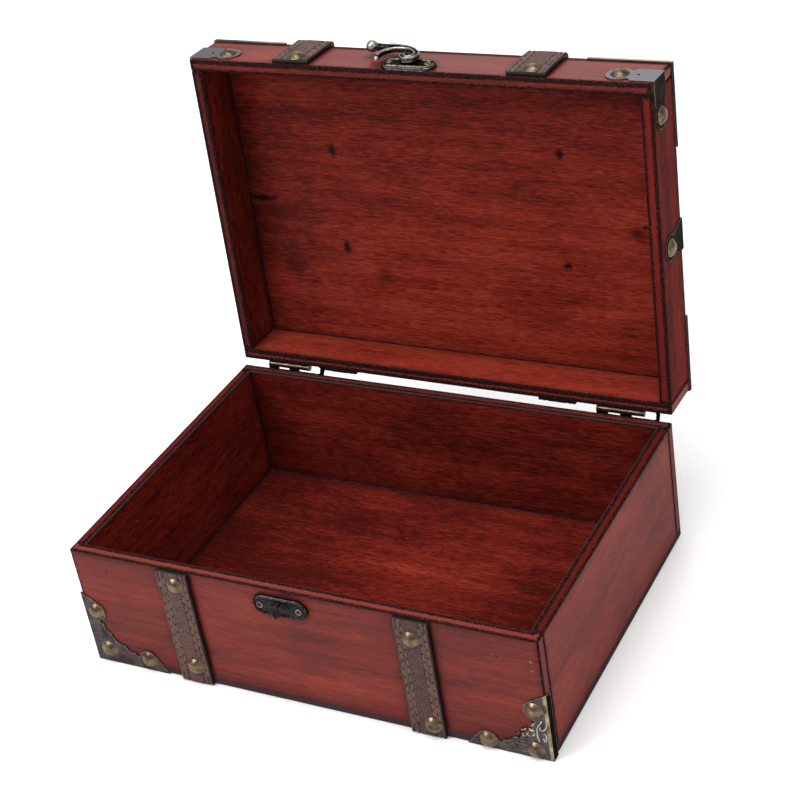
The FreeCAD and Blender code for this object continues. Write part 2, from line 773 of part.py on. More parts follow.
# straps
strapWords = {"left": "strap_inset_left - box_width / 2", "right": "box_width / 2 - strap_inset_right"}
for side in strapMiddles:
    westEdge = strapWords[side] + " - strap_width / 2"
    name = "base_front_strap_" + side
    run = "base_height - strap_head - strap_foot"
    low = (westEdge, "-box_depth / 2 - strap_thick", "strap_foot")
    cutBy(name, plank(name, low, ("strap_width", "strap_thick", run), "strap_edge"), baseTool, still)
    name = "base_back_strap_" + side
    run = "base_height - back_strap_head - strap_foot"
    low = (westEdge, "box_depth / 2", "strap_foot")
    cutBy(name, plank(name, low, ("strap_width", "strap_thick", run), "strap_edge"), baseTool, still)
    name = "lid_strap_" + side
    cutBy(name, lidStrap(name, strapWords[side]), lidTool, opened)

# stamped hardware
for stands, tool, hang, make in (
    (basePlates, baseTool, still, basePlate),
    (lidPlates, lidTool, opened, lidPlate),
    (lidWraps, lidTool, opened, cornerWrap),
    (lidClips, lidTool, opened, sideClip),
):
    for name, stand in stands.items():
        blank = make(name)
        blank.Placement = stand
        cutBy(name, blank, tool, hang)

# hinges
hingeWords = {"left": "hinge_inset - box_width / 2", "right": "box_width / 2 - hinge_inset"}
for side, middle in hingeMiddles.items():
    name = "hinge_" + side
    where = hingeWords[side]
    plateLow = "base_height - leaf_drop - leaf_height"
    neckLow = "base_height - 2 * leaf_drop"
    leaf = hingeLeaf(name + "_base", where, 0, plateLow, neckLow, "hinge_rise + 2 * leaf_drop")
    stripStart = where + " + barrel_length / 2"
    stripLow = "base_height - leaf_drop - ear_height"
    strip = ("ear_offset + ear_thick", "leaf_thick", "ear_height")
    leaf.append(box(name + "_strip", (stripStart, "box_depth / 2", stripLow), strip))
    leaf.append(stopEar(name, middle))
    bored = doc.addObject("Part::Cut", name + "_base_bored")
    bored.Base = fused(name + "_base_joined", leaf)
    bored.Tool = hingeBore(name + "_base", where)
    cutBy(name + "_base_leaf", bored, baseTool, still)
    plateLow = "base_height + hinge_rise + barrel_radius + barrel_gap"
    neck = "barrel_radius + barrel_gap + leaf_drop"
    leaf = hingeLeaf(name + "_lid", where, 1, plateLow, "base_height + hinge_rise", neck)
    bored = doc.addObject("Part::Cut", name + "_lid_bored")
    bored.Base = fused(name + "_lid_joined", leaf)
    bored.Tool = hingeBore(name + "_lid", where)
    cutBy(name + "_lid_leaf", bored, lidTool, opened)
    nodes[name + "_pin"] = bar(name + "_pin", where + " - barrel_length / 2", "barrel_length", "pin_radius")

# latch plate with its pivot boss
name = "latch_plate"
plate = latchPlate(name, latchMiddle)
disc(plate, name + "_boss", pivot, value("boss_radius"), "latch_thick", "boss_height")
cutBy(name, plate, lidTool, opened)

# catch: a post with a tongue that hangs in front of the latched prong
name = "latch_catch"
plate = latchPlate(name, catch)
postLow = value("lug_rise") - value("lug_height") / 2
postHigh = value("lug_rise") + value("lug_height") / 2
postHalf = value("lug_width") / 2


def catchPoint(across, along):
    return flat(catch.x + across, catch.z + along)


post = [
    (catchPoint(-postHalf, postLow),),
    (catchPoint(postHalf, postLow),),
    (catchPoint(postHalf, postHigh),),
    (catchPoint(-postHalf, postHigh),),
]
underTongue = "boss_height + hook_gap + hook_thick + tongue_gap"
frontPad(plate, name + "_post", post, "latch_thick", underTongue + " + tongue_thick")
tip = postHigh - value("tongue_length")
lean = -value("tongue_lean")
shoulder = 1.4 * postHalf
tongue = [
    (catchPoint(-shoulder, postHigh),),
    (catchPoint(lean - postHalf, tip + postHalf),),
    (catchPoint(lean, tip), catchPoint(lean + postHalf, tip + postHalf)),
    (catchPoint(shoulder, postHigh),),
]
frontPad(plate, name + "_tongue", tongue, "latch_thick + " + underTongue, "tongue_thick")
cutBy(name, plate, baseTool, still)

# hook: an eye with a scroll, a prong curved round the pivot and a necked thumb ball, drawn about its pivot
name = "latch_hook"
eye = value("eye_radius")
inner = value("prong_inner")
wide = value("prong_width")
outer = inner + wide
knob = value("ball_radius")
ballAngle = value("ball_angle")
ballReach = value("ball_reach")
tipAngle = ballAngle + 35


def polar(radius, angle):
    turn = math.radians(angle)
    return flat(radius * math.cos(turn), radius * math.sin(turn))


# an arc that leaves a point along a heading: its middle, and its heading at the end
def arcFrom(start, heading, end):
    chord = end - start
    turn = math.atan2(heading.cross(chord).z, heading.dot(chord))
    middle = (start + end) / 2 + flat(chord.y, -chord.x) * math.tan(turn / 2) / 2
    return middle, Rotation(Vector(0, 0, 1), math.degrees(2 * turn)).multVec(heading)


cheek = polar(eye, ballAngle - 145)
crown = polar(outer - 1.42 * wide, ballAngle - 37)
shoulder = polar(ballReach, ballAngle - 10.8)
neckTop = polar(ballReach + 0.64 * knob, ballAngle - 2.9)
neckLow = polar(ballReach - 0.77 * knob, ballAngle + 1.6)
fork = polar(outer + 0.33 * wide, ballAngle - 8.8)
tipOuter = polar(outer, tipAngle - 3)
tipInner = polar(inner, tipAngle)
prongRoot = polar(inner - 0.17 * wide, ballAngle + 3)
throat = polar(1.78 * eye, ballAngle - 32)
temple = polar(eye, ballAngle + 6)
armLow, crownHeading = arcFrom(cheek, polar(1, ballAngle - 55), crown)
armHigh = arcFrom(crown, crownHeading, shoulder)[0]
brow = arcFrom(temple, polar(1, ballAngle - 84), throat)[0]
hookPath = [
    (polar(eye, 270), cheek),
    (armLow, crown),
    (armHigh, shoulder),
    (polar(ballReach + 0.67 * knob, ballAngle - 6.6), neckTop),
    (neckLow,),
    (polar(outer + 2.83 * wide, ballAngle - 4.9), fork),
    (polar(outer + 0.04 * wide, ballAngle + 10), tipOuter),
    (polar((inner + outer) / 2, tipAngle + 2.4), tipInner),
    (polar(inner, ballAngle + 18), prongRoot),
    (polar(0.85 * inner, ballAngle - 12), throat),
    (brow, temple),
]
hook = doc.addObject("PartDesign::Body", name + "_blank")
outline = sketchOn(hook, "XZ_Plane", name + "_outline")
hookLow = "latch_thick + boss_height + hook_gap"
outline.setExpression("AttachmentOffset.Base.z", words(hookLow))
trace(outline, hookPath)
bore = value("rivet_radius") + value("pin_clearance")
outline.addGeometry(Part.Circle(flat(0, 0), Vector(0, 0, 1), bore))
hookBar = pad(hook, outline, "hook_thick", name + "_bar")
hookFloor = value("latch_thick") + value("boss_height") + value("hook_gap")
hookFace = hookFloor + value("hook_thick")
frontLevel = -hookFace
sharp = (neckTop, neckLow, tipOuter, tipInner)
eased = []
for number, edge in enumerate(hookBar.Shape.Edges):
    box = edge.BoundBox
    onFace = max(abs(box.YMin - frontLevel), abs(box.YMax - frontLevel)) < 0.01
    ends = [flat(end.X, end.Z) for end in edge.Vertexes]
    keptSharp = min(end.distanceToPoint(corner) for end in ends for corner in sharp) < 0.1
    if onFace and not keptSharp and box.DiagonalLength > 3 * bore:
        eased.append("Edge%d" % (number + 1))
bevel(hook, hookBar, eased, "hook_edge")
ballSeat = polar(ballReach, ballAngle)
ball = doc.addObject("Part::Sphere", name + "_ball")
ball.setExpression("Radius", words("ball_radius"))
ballHeight = value("latch_thick") + value("screw_head_height") + value("ball_radius")
ball.Placement = Placement(Vector(ballSeat.x, -ballHeight, ballSeat.y), Rotation())
scrollOuter = value("scroll_radius")
scrollInner = scrollOuter - value("scroll_width")
scrollDepth = value("hook_thick") / 3
scrollBase = Vector(0, frontLevel + scrollDepth, 0)
ring = Part.makeCylinder(scrollOuter, 2 * scrollDepth, scrollBase, front, 300)
ring = ring.cut(Part.makeCylinder(scrollInner, 2 * scrollDepth, scrollBase, front))
ring.rotate(scrollBase, front, ballAngle - 120)
scroll = doc.addObject("Part::Feature", name + "_scroll")
scroll.Shape = ring
beadSeat = polar((inner + outer) / 2, tipAngle)
bead = doc.addObject("Part::Sphere", name + "_bead")
bead.setExpression("Radius", words("prong_bead"))
bead.Placement = Placement(Vector(beadSeat.x, -(hookFloor + hookFace) / 2, beadSeat.y), Rotation())
hookSeat = Placement(Vector(pivot.x, -halfDepth, pivot.z), Rotation())
cutBy(name, fused(name + "_joined", [hook, ball, bead]), scroll, opened * hookSeat)

# rivet through the hook, headed over its eye
head = [
    (flat(0, value("rivet_head_height")),),
    (flat(value("rivet_head") * 0.7, value("rivet_head_height") * 0.8), flat(value("rivet_head"), 0)),
]
rivetLength = value("hook_thick") + 2 * value("hook_gap") + value("boss_height") / 2
rivet = fastener(head, value("rivet_radius"), rivetLength)
rivetSeat = (Vector(pivot.x, -halfDepth - hookFace - value("hook_gap"), pivot.z), front)
rivetTool = drillTool("rivet_seat", pilots([rivetSeat], value("rivet_radius"), rivetLength))
seated = nodes["latch_plate"].Base
pierced = doc.addObject("Part::Cut", "latch_plate_pierced")
pierced.Base = seated
pierced.Tool = rivetTool
nodes["latch_plate"].Base = pierced
fastenerGroup("latch_rivet", rivet, [rivetSeat], opened)

# nails, screws and brads
fastenerGroup("base_strap_nails", domeNail(), baseStrapSpots, still)
fastenerGroup("base_corner_nails", domeNail(), baseCornerSpots, still)
fastenerGroup("lid_strap_nails", domeNail(), lidStrapSpots, opened)
fastenerGroup("lid_corner_nails", domeNail(), lidCornerSpots, opened)
fastenerGroup("lid_wrap_nails", domeNail(), lidWrapSpots, opened)
fastenerGroup("lid_clip_nails", domeNail(), lidClipSpots, opened)
fastenerGroup("latch_plate_screws", screw(), latchSpots(latchMiddle), opened)
fastenerGroup("latch_catch_screws", screw(), latchSpots(catch), still)
fastenerGroup("hinge_base_screws", screw(), baseLeafSpots, still)
fastenerGroup("hinge_lid_screws", screw(), lidLeafSpots, opened)
fastenerGroup("base_brads", brad(), bradSpots, still)

doc.recompute()
for item in doc.Objects:
    if "Invalid" in item.State or "Error" in item.State:
        raise RuntimeError(item.Name + " did not build: " + ", ".join(item.State))
os.makedirs("parts", exist_ok=True)
for label, item in nodes.items():
    item.Label = label
    if item.Shape.isNull() or not item.Shape.isValid() or not item.Shape.Solids:
        raise RuntimeError(label + " is not a valid solid")
    item.Shape.exportStep("parts/" + label + ".step")
    print(label, len(item.Shape.Solids), round(item.Shape.Volume, 2))
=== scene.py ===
import bpy
import math
from functools import partial
from mathutils import Matrix, Vector, noise


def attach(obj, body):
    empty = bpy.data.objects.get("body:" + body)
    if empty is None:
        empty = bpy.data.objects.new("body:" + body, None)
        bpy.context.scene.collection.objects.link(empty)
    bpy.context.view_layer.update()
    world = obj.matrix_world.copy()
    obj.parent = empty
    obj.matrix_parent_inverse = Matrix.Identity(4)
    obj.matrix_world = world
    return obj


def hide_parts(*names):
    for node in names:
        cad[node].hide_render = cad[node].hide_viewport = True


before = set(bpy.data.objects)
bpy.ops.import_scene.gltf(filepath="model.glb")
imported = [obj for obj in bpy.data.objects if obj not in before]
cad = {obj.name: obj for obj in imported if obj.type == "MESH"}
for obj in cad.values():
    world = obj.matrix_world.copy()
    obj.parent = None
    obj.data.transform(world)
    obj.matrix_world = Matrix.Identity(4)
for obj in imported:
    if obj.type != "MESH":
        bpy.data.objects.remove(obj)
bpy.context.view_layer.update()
scene = bpy.context.scene

# the shut box in mm: half its width and depth, its height, the parting line, and the wood's thickness
box = {"halfWide": 165, "halfDeep": 115.5, "high": 129, "parting": 92.15, "wall": 8}
# the lid is drawn shut and swung open about the hinge pins
hinge = {"y": 0.11815, "z": 0.09425, "openDegrees": 92.7, "middle": 128.3}
hingePoint = Vector((0, hinge["y"], hinge["z"]))
swing = Matrix.Rotation(-math.radians(hinge["openDegrees"]), 4, "X")
swing = Matrix.Translation(hingePoint) @ swing @ Matrix.Translation(-hingePoint)
unswing = swing.inverted()


def linear(colour):
    parts = [int(colour[i:i + 2], 16) / 255 for i in (1, 3, 5)]
    return tuple(p / 12.92 if p <= 0.04045 else ((p + 0.055) / 1.055) ** 2.4 for p in parts) + (1.0,)


def plug(node, inputs):
    for key, given in inputs.items():
        if isinstance(given, bpy.types.NodeSocket):
            node.id_data.links.new(given, node.inputs[key])
        else:
            node.inputs[key].default_value = given


# adds a node and gives back one of its outputs
def addNode(tree, kind, inputs=None, out=0, **settings):
    node = tree.nodes.new("ShaderNode" + kind)
    for key, setting in settings.items():
        setattr(node, key, setting)
    plug(node, inputs or {})
    return node.outputs[out]


def newMaterial(name):
    material = bpy.data.materials.new(name)
    material.use_nodes = True
    tree = material.node_tree
    return material, partial(addNode, tree), tree.nodes["Principled BSDF"]


# place on the box in millimetres, with the lid turned shut
def placeInMm(add, onLid=False):
    place = add("TexCoord", out="Object")
    if onLid:
        opened = math.radians(hinge["openDegrees"])
        turn = {"Vector": place, "Center": hingePoint, "Axis": (1, 0, 0), "Angle": opened}
        place = add("VectorRotate", turn, rotation_type="AXIS_ANGLE")
    return add("VectorMath", {0: place, "Scale": 1000}, operation="SCALE")


def dress(name, material):
    piece = cad[name]
    if not piece.material_slots:
        piece.data.materials.append(material)
    for slot in piece.material_slots:
        slot.material = material


# a piece drawn in mm on the shut box
def makePiece(name, points, faces, materials, body, faceSlots=None):
    mesh = bpy.data.meshes.new(name)
    mesh.from_pydata([p / 1000 if body == "base" else swing @ (p / 1000) for p in points], [], faces)
    for material in materials:
        mesh.materials.append(material)
    if faceSlots:
        mesh.polygons.foreach_set("material_index", faceSlots)
    mesh.polygons.foreach_set("use_smooth", [True] * len(faces))
    mesh.update()
    piece = bpy.data.objects.new(name, mesh)
    scene.collection.objects.link(piece)
    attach(piece, body)
    return piece


# camera where the photograph was taken from
cameraPlace = {
    "location": (0.54972, -0.84660, 0.78082), "degrees": (57.731, 8.365, 26.223), "lens": 84.01, "sensor": 36}
cameraData = bpy.data.cameras.new("camera")
cameraData.lens = cameraPlace["lens"]
cameraData.sensor_width = cameraPlace["sensor"]
camera = bpy.data.objects.new("camera", cameraData)
camera.location = cameraPlace["location"]
camera.rotation_euler = [math.radians(d) for d in cameraPlace["degrees"]]
scene.collection.objects.link(camera)
scene.camera = camera

# soft boxes round a pale sweep
lights = {
    "softbox_left": {"place": (-1.1, -1.5, 1.7), "aim": (0, 0, 0.1), "width": 0.9, "watts": 28},
    "softbox_top": {"place": (0.1, -0.2, 2.2), "aim": (0, 0.02, 0.1), "width": 1.2, "watts": 24},
    "softbox_right": {"place": (1.8, -0.6, 1.0), "aim": (0, 0, 0.1), "width": 1.1, "watts": 5},
    "softbox_back": {"place": (-0.6, 1.9, 1.3), "aim": (0, 0, 0.1), "width": 1.2, "watts": 6},
}
for name, light in lights.items():
    data = bpy.data.lights.new(name, "AREA")
    data.size = light["width"]
    data.energy = light["watts"]
    lamp = bpy.data.objects.new(name, data)
    lamp.location = light["place"]
    way = Vector(light["aim"]) - Vector(light["place"])
    lamp.rotation_euler = way.to_track_quat("-Z", "Y").to_euler()
    scene.collection.objects.link(lamp)
# white room, brighter overhead; its walls look plain white
world = bpy.data.worlds.new("studio")
world.use_nodes = True
add = partial(addNode, world.node_tree)
height = add("SeparateXYZ", {0: add("TexCoord", out="Generated")}, 2)
glow = add("MapRange", {"Value": height, "From Min": 0, "From Max": 0.9, "To Min": 0.3, "To Max": 1.0})
seen = add("LightPath", out="Is Camera Ray")
glow = add("Math", {0: glow, 1: seen}, operation="MAXIMUM")
plug(world.node_tree.nodes["Background"], {"Strength": glow, "Color": linear("#ffffff")})
scene.world = world
scene.view_settings.view_transform = "Standard"

# painted board: matt and nearly white, with a faint mottling, lit up toward the walls
paintedBoard, add, shader = newMaterial("matt_white_paint")
place = placeInMm(add)
mottle = add("TexNoise", {"Vector": place, "Scale": 1 / 80, "Detail": 3})  # 80 mm patches
tint = add("Mix", {0: mottle, 6: linear("#f6f6f6"), 7: linear("#fbfbfb")}, 2, data_type="RGBA")
away = add("VectorMath", {0: place}, "Value", operation="LENGTH")
wash = add("MapRange", {"Value": away, "From Min": 900, "From Max": 2600, "To Max": 0.45})
glow = {"Emission Color": linear("#ffffff"), "Emission Strength": wash}
plug(shader, {"Base Color": tint, "Roughness": 0.9, **glow})
sweep = {"half": 6, "drop": 0.0002, "corners": ((-1, -1), (1, -1), (1, 1), (-1, 1))}
corners = [(sweep["half"] * x, sweep["half"] * y, -sweep["drop"]) for x, y in sweep["corners"]]
floorMesh = bpy.data.meshes.new("floor")
floorMesh.from_pydata(corners, [], [(0, 1, 2, 3)])
floorMesh.materials.append(paintedBoard)
floor = bpy.data.objects.new("floor", floorMesh)
scene.collection.objects.link(floor)
print("camera, lights and floor set")

# pine boards stained mahogany red, wiped, burnished dark along every edge and lacquered satin:
# fine fibre lines, cloudy stain, short dark flecks and almost black ragged arrises
# lift and pools (x, y, radius, lift) set the tone, partly stain taken unevenly and partly painted light and
# shade for how each board, and each part of a panel, is lit; knots are (x, y, radius, broadness) and pins (x,
# z), in mm
baseRim = {"rimLine": 1.6, "innerLine": 3.3, "rag": 0.7, "rimDustAndSheen": 0.85}
boards = {
    "base_front_board": {
        "grain": "x", "seed": 11, **baseRim, "rimTone": "#80382f", "lift": -0.04,
        "pins": [(-139.7, 77.6), (136.8, 74.8)], "stainAndShadePools": [(120, -115, 90, -0.12), (-140, -115, 60, -0.1)]},
    "base_back_board": {"grain": "x", "seed": 23, "innerLine": 2.6, "rag": 0.7, "lift": -0.22},
    "base_left_side": {"grain": "y", "seed": 37, **baseRim, "rimTone": "#5f1a13", "lift": -0.16},
    "base_right_side": {"grain": "y", "seed": 41, **baseRim, "rimTone": "#55130d", "gloss": 0.85},
    "base_bottom_panel": {
        "grain": "x", "seed": 53, "lift": -0.28, "waver": 14,
        "stainAndShadePools": [(20, 10, 100, 0.24), (-130, 0, 85, -0.2), (130, 0, 90, -0.32)]},
    "lid_front_board": {
        "grain": "x", "seed": 67, "gloss": 1.4, "rimLine": 3.1, "innerLine": 2.0,
        "rimTone": "#4d2826", "brow": 0.8},
    "lid_back_board": {"grain": "x", "seed": 71, "lift": 0.3, "rimLine": 3.3, "corner": 0.35},
    "lid_left_side": {
        "grain": "y", "seed": 83, "lift": -0.3, "rimLine": 2.8, "innerLine": 2.2, "rimTone": "#472221"},
    "lid_right_side": {
        "grain": "y", "seed": 97, "lift": -0.3, "gloss": 0.22, "rimLine": 2.1,
        "rimDustAndSheen": 0.7, "rimTone": "#6d1f1b"},
    "lid_top_panel": {
        "grain": "x", "seed": 101, "lift": 0.05, "paintedShadeFade": 0.3, "corner": 0.6,
        "stainAndShadePools": [(20, 50, 110, 0.07), (-150, 0, 95, -0.4), (165, 15, 95, 0.2), (-128, 53, 13, -0.4),
                  (-114, 61, 10, -0.35), (-54, 51, 11, -0.4), (137, 1, 7, -0.5)],
        "knots": [(-83, -42, 3.9, 0.8), (87, -51, 3.2, 0.85), (-83, 32, 3.8, 0.75),
                  (86, 29.5, 3.0, 1.2), (-147, -1, 5.4, 2.2), (143, -4, 2.0, 1)]},
}
stain = {
    "deep": "#3e100d", "red": "#6b2018", "bright": "#8d3626", "glazeAndShade": "#100808", "bloom": "#33272a",
    "dust": "#573430", "footTone": "#3b2e32", "paintedArrisHighlight": "#4f3937",
    "fibreMm": 0.75, "fibreStretch": 10, "streakMm": 2.4, "streakStretch": 24, "bandMm": 12, "bandStretch": 9,
    "cloudMm": 30, "cloudStretch": 1.8, "fleckMm": 0.9, "fleckStretch": 14, "waverMm": 4, "swayMm": 75,
    "lineMm": 1.2, "rimLineMm": 1.9, "ragMm": 1.2, "ragRunMm": 2.2, "softMm": 4.5, "pinMm": 0.9,
    "footMm": 6.1, "hazeMm": 13, "browMm": (6, 3.8), "paintedArrisHighlightMm": (1.1, 0.7), "nookMm": 7, "speckMm": 1.1,
    "gloss": 0.37, "coatRough": 0.36,
}


def stainedPine(name, board):
    onLid = name.startswith("lid_")
    corners = [unswing @ v.co if onLid else v.co for v in cad[name].data.vertices]
    low = [1000 * min(c[i] for c in corners) for i in range(3)]
    high = [1000 * max(c[i] for c in corners) for i in range(3)]
    material, add, shader = newMaterial("stained_pine_" + name)
    place = placeInMm(add, onLid)
    spread = add("SeparateXYZ", {0: place}).node.outputs
    seed = (board["seed"] * 7.1, board["seed"] * 3.7, board["seed"] * 5.3)
    # depth below the outside of the shut box
    half = (box["halfWide"], box["halfDeep"], box["high"] / 2)
    under = add("VectorMath", {0: place, 1: (0, 0, half[2])}, operation="SUBTRACT")
    under = add("VectorMath", {0: under}, operation="ABSOLUTE")
    under = add("VectorMath", {0: half, 1: under}, operation="SUBTRACT")
    under = add("SeparateXYZ", {0: under}).node.outputs
    depth = add("Math", {0: under[0], 1: under[1]}, operation="MINIMUM")
    depth = add("Math", {0: depth, 1: under[2]}, operation="MINIMUM")
    # the grain wavers, and each pattern is drawn out along it
    swerve = (board.get("waver", stain["waverMm"]),) * 3
    waver = add("TexNoise", {"Vector": place, "Scale": 1 / stain["swayMm"], "Detail": 1.5}, "Color")
    wavy = add("VectorMath", {0: waver, 1: swerve, 2: place}, operation="MULTIPLY_ADD")
    drawn = {}
    for kind, detail in (("fibre", 2), ("streak", 4), ("band", 4), ("cloud", 6), ("fleck", 2)):
        squeeze = tuple(1 / stain[kind + "Stretch"] if axis == board["grain"] else 1 for axis in "xyz")
        along = add("VectorMath", {0: wavy, 1: squeeze, 2: seed}, operation="MULTIPLY_ADD")
        look = {"Vector": along, "Scale": 1 / stain[kind + "Mm"], "Detail": detail, "Roughness": 0.6}
        drawn[kind] = add("TexNoise", look)
    # one tone from the patterns, then deep, red and bright stain along it
    shares = {"streak": 0.6, "band": 0.9, "cloud": 0.9}
    tone = board.get("lift", 0) + 0.5 - 0.5 * sum(shares.values())
    for kind, share in shares.items():
        tone = add("Math", {0: drawn[kind], 1: share, 2: tone}, operation="MULTIPLY_ADD")
    # the fibres show less under the lacquer
    clear = add("MapRange", {"Value": depth, "From Min": 0.5, "From Max": 2, "To Min": 0.7, "To Max": 1.8})
    fibre = add("Math", {0: drawn["fibre"], 1: 0.5}, operation="SUBTRACT")
    tone = add("Math", {0: fibre, 1: clear, 2: tone}, operation="MULTIPLY_ADD")
    if "paintedShadeFade" in board:
        # painted shade: the panel darkens toward the front edge, where the lid's front board keeps off the
        # overhead light
        paintedShadeFade = add("MapRange", {
            "Value": spread[1], "From Min": 60, "From Max": -110, "To Max": -board["paintedShadeFade"]})
        tone = add("Math", {0: tone, 1: paintedShadeFade}, operation="ADD")
    for x, y, radius, lift in board.get("stainAndShadePools", ()):
        # a patch lighter or darker: stain wiped thinner or left thicker, and in the broad patches on the
        # inside panels painted shade near the walls and painted light away from them
        apart = add("VectorMath", {0: place, 1: (1, 1, 0)}, operation="MULTIPLY")
        apart = add("VectorMath", {0: apart, 1: (x, y, 0)}, "Value", operation="DISTANCE")
        pool = add("MapRange", {
            "Value": apart, "From Min": radius, "From Max": 0, "To Max": lift},
            interpolation_type="SMOOTHSTEP")
        tone = add("Math", {0: tone, 1: pool}, operation="ADD")
    lower = add("MapRange", {"Value": tone, "From Min": 0, "From Max": 0.5})
    upper = add("MapRange", {"Value": tone, "From Min": 0.5, "From Max": 1.1})
    colour = add("Mix", {0: lower, 6: linear(stain["deep"]), 7: linear(stain["red"])}, 2, data_type="RGBA")
    colour = add("Mix", {0: upper, 6: colour, 7: linear(stain["bright"])}, 2, data_type="RGBA")
    fleck = add("MapRange", {"Value": drawn["fleck"], "From Min": 0.58, "From Max": 0.68, "To Max": 0.6})
    colour = add("Mix", {0: fleck, 6: colour, 7: linear(stain["deep"])}, 2, data_type="RGBA")
    # knots and pin holes
    marks = [(x, y, 0, radius, (1 / wide, wide, 0)) for x, y, radius, wide in board.get("knots", ())]
    marks += [(x, 0, z, stain["pinMm"], (1, 0, 1)) for x, z in board.get("pins", ())]
    for x, y, z, radius, flatten in marks:
        offset = add("VectorMath", {0: place, 1: (x, y, z)}, operation="SUBTRACT")
        jag = add("TexNoise", {"Vector": place, "Scale": 1 / stain["ragRunMm"], "Detail": 3})
        offset = add("VectorMath", {0: offset, 1: flatten}, operation="MULTIPLY")
        reach = add("VectorMath", {0: offset}, "Value", operation="LENGTH")
        reach = add("Math", {0: jag, 1: -1.6 * radius, 2: reach}, operation="MULTIPLY_ADD")
        knot = add("MapRange", {
            "Value": reach, "From Min": 0.5 * radius, "From Max": -0.3 * radius, "To Max": 0.92})
        colour = add("Mix", {0: knot, 6: colour, 7: linear(stain["glazeAndShade"])}, 2, data_type="RGBA")
    # dark glaze left in a ragged line along the arrises, wider on the rims, and softer beside them
    fromLow = add("VectorMath", {0: place, 1: low}, operation="SUBTRACT")
    fromHigh = add("VectorMath", {0: high, 1: place}, operation="SUBTRACT")
    inset = add("VectorMath", {0: fromLow, 1: fromHigh}, operation="MINIMUM")
    inset = add("SeparateXYZ", {0: inset}).node.outputs
    lesser = add("Math", {0: inset[0], 1: inset[1]}, operation="MINIMUM")
    greater = add("Math", {0: inset[0], 1: inset[1]}, operation="MAXIMUM")
    greater = add("Math", {0: greater, 1: inset[2]}, operation="MINIMUM")
    edge = add("Math", {0: lesser, 1: greater}, operation="MAXIMUM")
    rag = add("TexNoise", {"Vector": place, "Scale": 1 / stain["ragRunMm"], "Detail": 6, "Roughness": 0.75})
    ragMm = board.get("rag", stain["ragMm"])
    ragged = add("Math", {0: rag, 1: 4 * ragMm, 2: -2 * ragMm}, operation="MULTIPLY_ADD")
    edge = add("Math", {0: edge, 1: ragged}, operation="ADD")
    onRim = add("Math", {0: spread[2], 1: box["parting"], 2: 0.4}, operation="COMPARE")
    rimLine = board.get("rimLine", stain["rimLineMm"])
    innerHalf = add("Math", {0: depth, 1: box["wall"] / 2}, operation="GREATER_THAN")
    shift = {0: innerHalf, 1: rimLine - board.get("innerLine", rimLine), 2: stain["lineMm"] - rimLine}
    shift = add("Math", shift, operation="MULTIPLY_ADD")
    widen = add("Math", {0: onRim, 1: shift, 2: edge}, operation="MULTIPLY_ADD")
    line = add("MapRange", {
        "Value": widen, "From Min": stain["lineMm"] + 0.5, "From Max": stain["lineMm"] - 0.4, "To Max": 0.94})
    soft = add("MapRange", {"Value": edge, "From Min": stain["softMm"], "From Max": 0, "To Max": 0.5})
    dark = add("Math", {0: line, 1: soft}, operation="MAXIMUM")
    foot = None
    if name.startswith("base_") and name != "base_bottom_panel":
        # the foot is darker, with a haze above it, on the outside only
        outside = add("MapRange", {"Value": depth, "From Min": 2, "From Max": 0.5})
        height = add("Math", {0: spread[2], 1: ragged}, operation="ADD")
        foot = add("MapRange", {
            "Value": height, "From Min": stain["footMm"] + 1.2, "From Max": stain["footMm"] - 1.2,
            "To Max": 0.95})
        haze = add("MapRange", {
            "Value": height, "From Min": stain["footMm"] + stain["hazeMm"], "From Max": stain["footMm"],
            "To Max": 0.3})
        foot, haze = [add("Math", {0: mask, 1: outside}, operation="MULTIPLY") for mask in (foot, haze)]
        for mask in (foot, haze):
            dark = add("Math", {0: dark, 1: mask}, operation="MAXIMUM")
    if "brow" in board:
        # burnished broadly along the lid's upper front arris
        height = add("Math", {0: spread[2], 1: ragged}, operation="ADD")
        brow = add("MapRange", {
            "Value": height, "From Min": box["high"] - stain["browMm"][0],
            "From Max": box["high"] - stain["browMm"][1], "To Max": board["brow"]})
        facing = add("Math", {0: spread[1], 1: 0.3 - box["halfDeep"]}, operation="LESS_THAN")
        brow = add("Math", {0: brow, 1: facing}, operation="MULTIPLY")
        dark = add("Math", {0: dark, 1: brow}, operation="MAXIMUM")
    # the rims are mixed toward a rim tone set board by board: dust, and painted sheen and shade for how each
    # rim faces the light
    rimDustAndSheen = add("Math", {0: onRim, 1: board.get("rimDustAndSheen", 0.4)}, operation="MULTIPLY")
    colour = add("Mix", {
        0: rimDustAndSheen, 6: colour, 7: linear(board.get("rimTone", stain["dust"]))}, 2, data_type="RGBA")
    # painted shade: the wood goes dark where other surfaces come close, in the inside corners and beside the
    # straps and hardware, in the same dark as the glaze
    near = add("AmbientOcclusion", {"Distance": stain["nookMm"] / 1000}, "AO", samples=4)
    corner = add("MapRange", {
        "Value": near, "From Min": 0.92, "From Max": 0.55, "To Max": board.get("corner", 0.75)})
    dark = add("Math", {0: dark, 1: corner}, operation="MAXIMUM")
    dust = add("TexNoise", {"Vector": place, "Scale": 1 / stain["speckMm"], "Detail": 3})
    dust = add("MapRange", {"Value": dust, "From Min": 0.45, "From Max": 0.7})
    glazeAndShade = add("Mix", {0: dust, 6: linear(stain["glazeAndShade"]), 7: linear(stain["bloom"])}, 2, data_type="RGBA")
    if foot:
        glazeAndShade = add("Mix", {0: foot, 6: glazeAndShade, 7: linear(stain["footTone"])}, 2, data_type="RGBA")
    colour = add("Mix", {0: dark, 6: colour, 7: glazeAndShade}, 2, data_type="RGBA")
    if "innerLine" in board and not onLid:
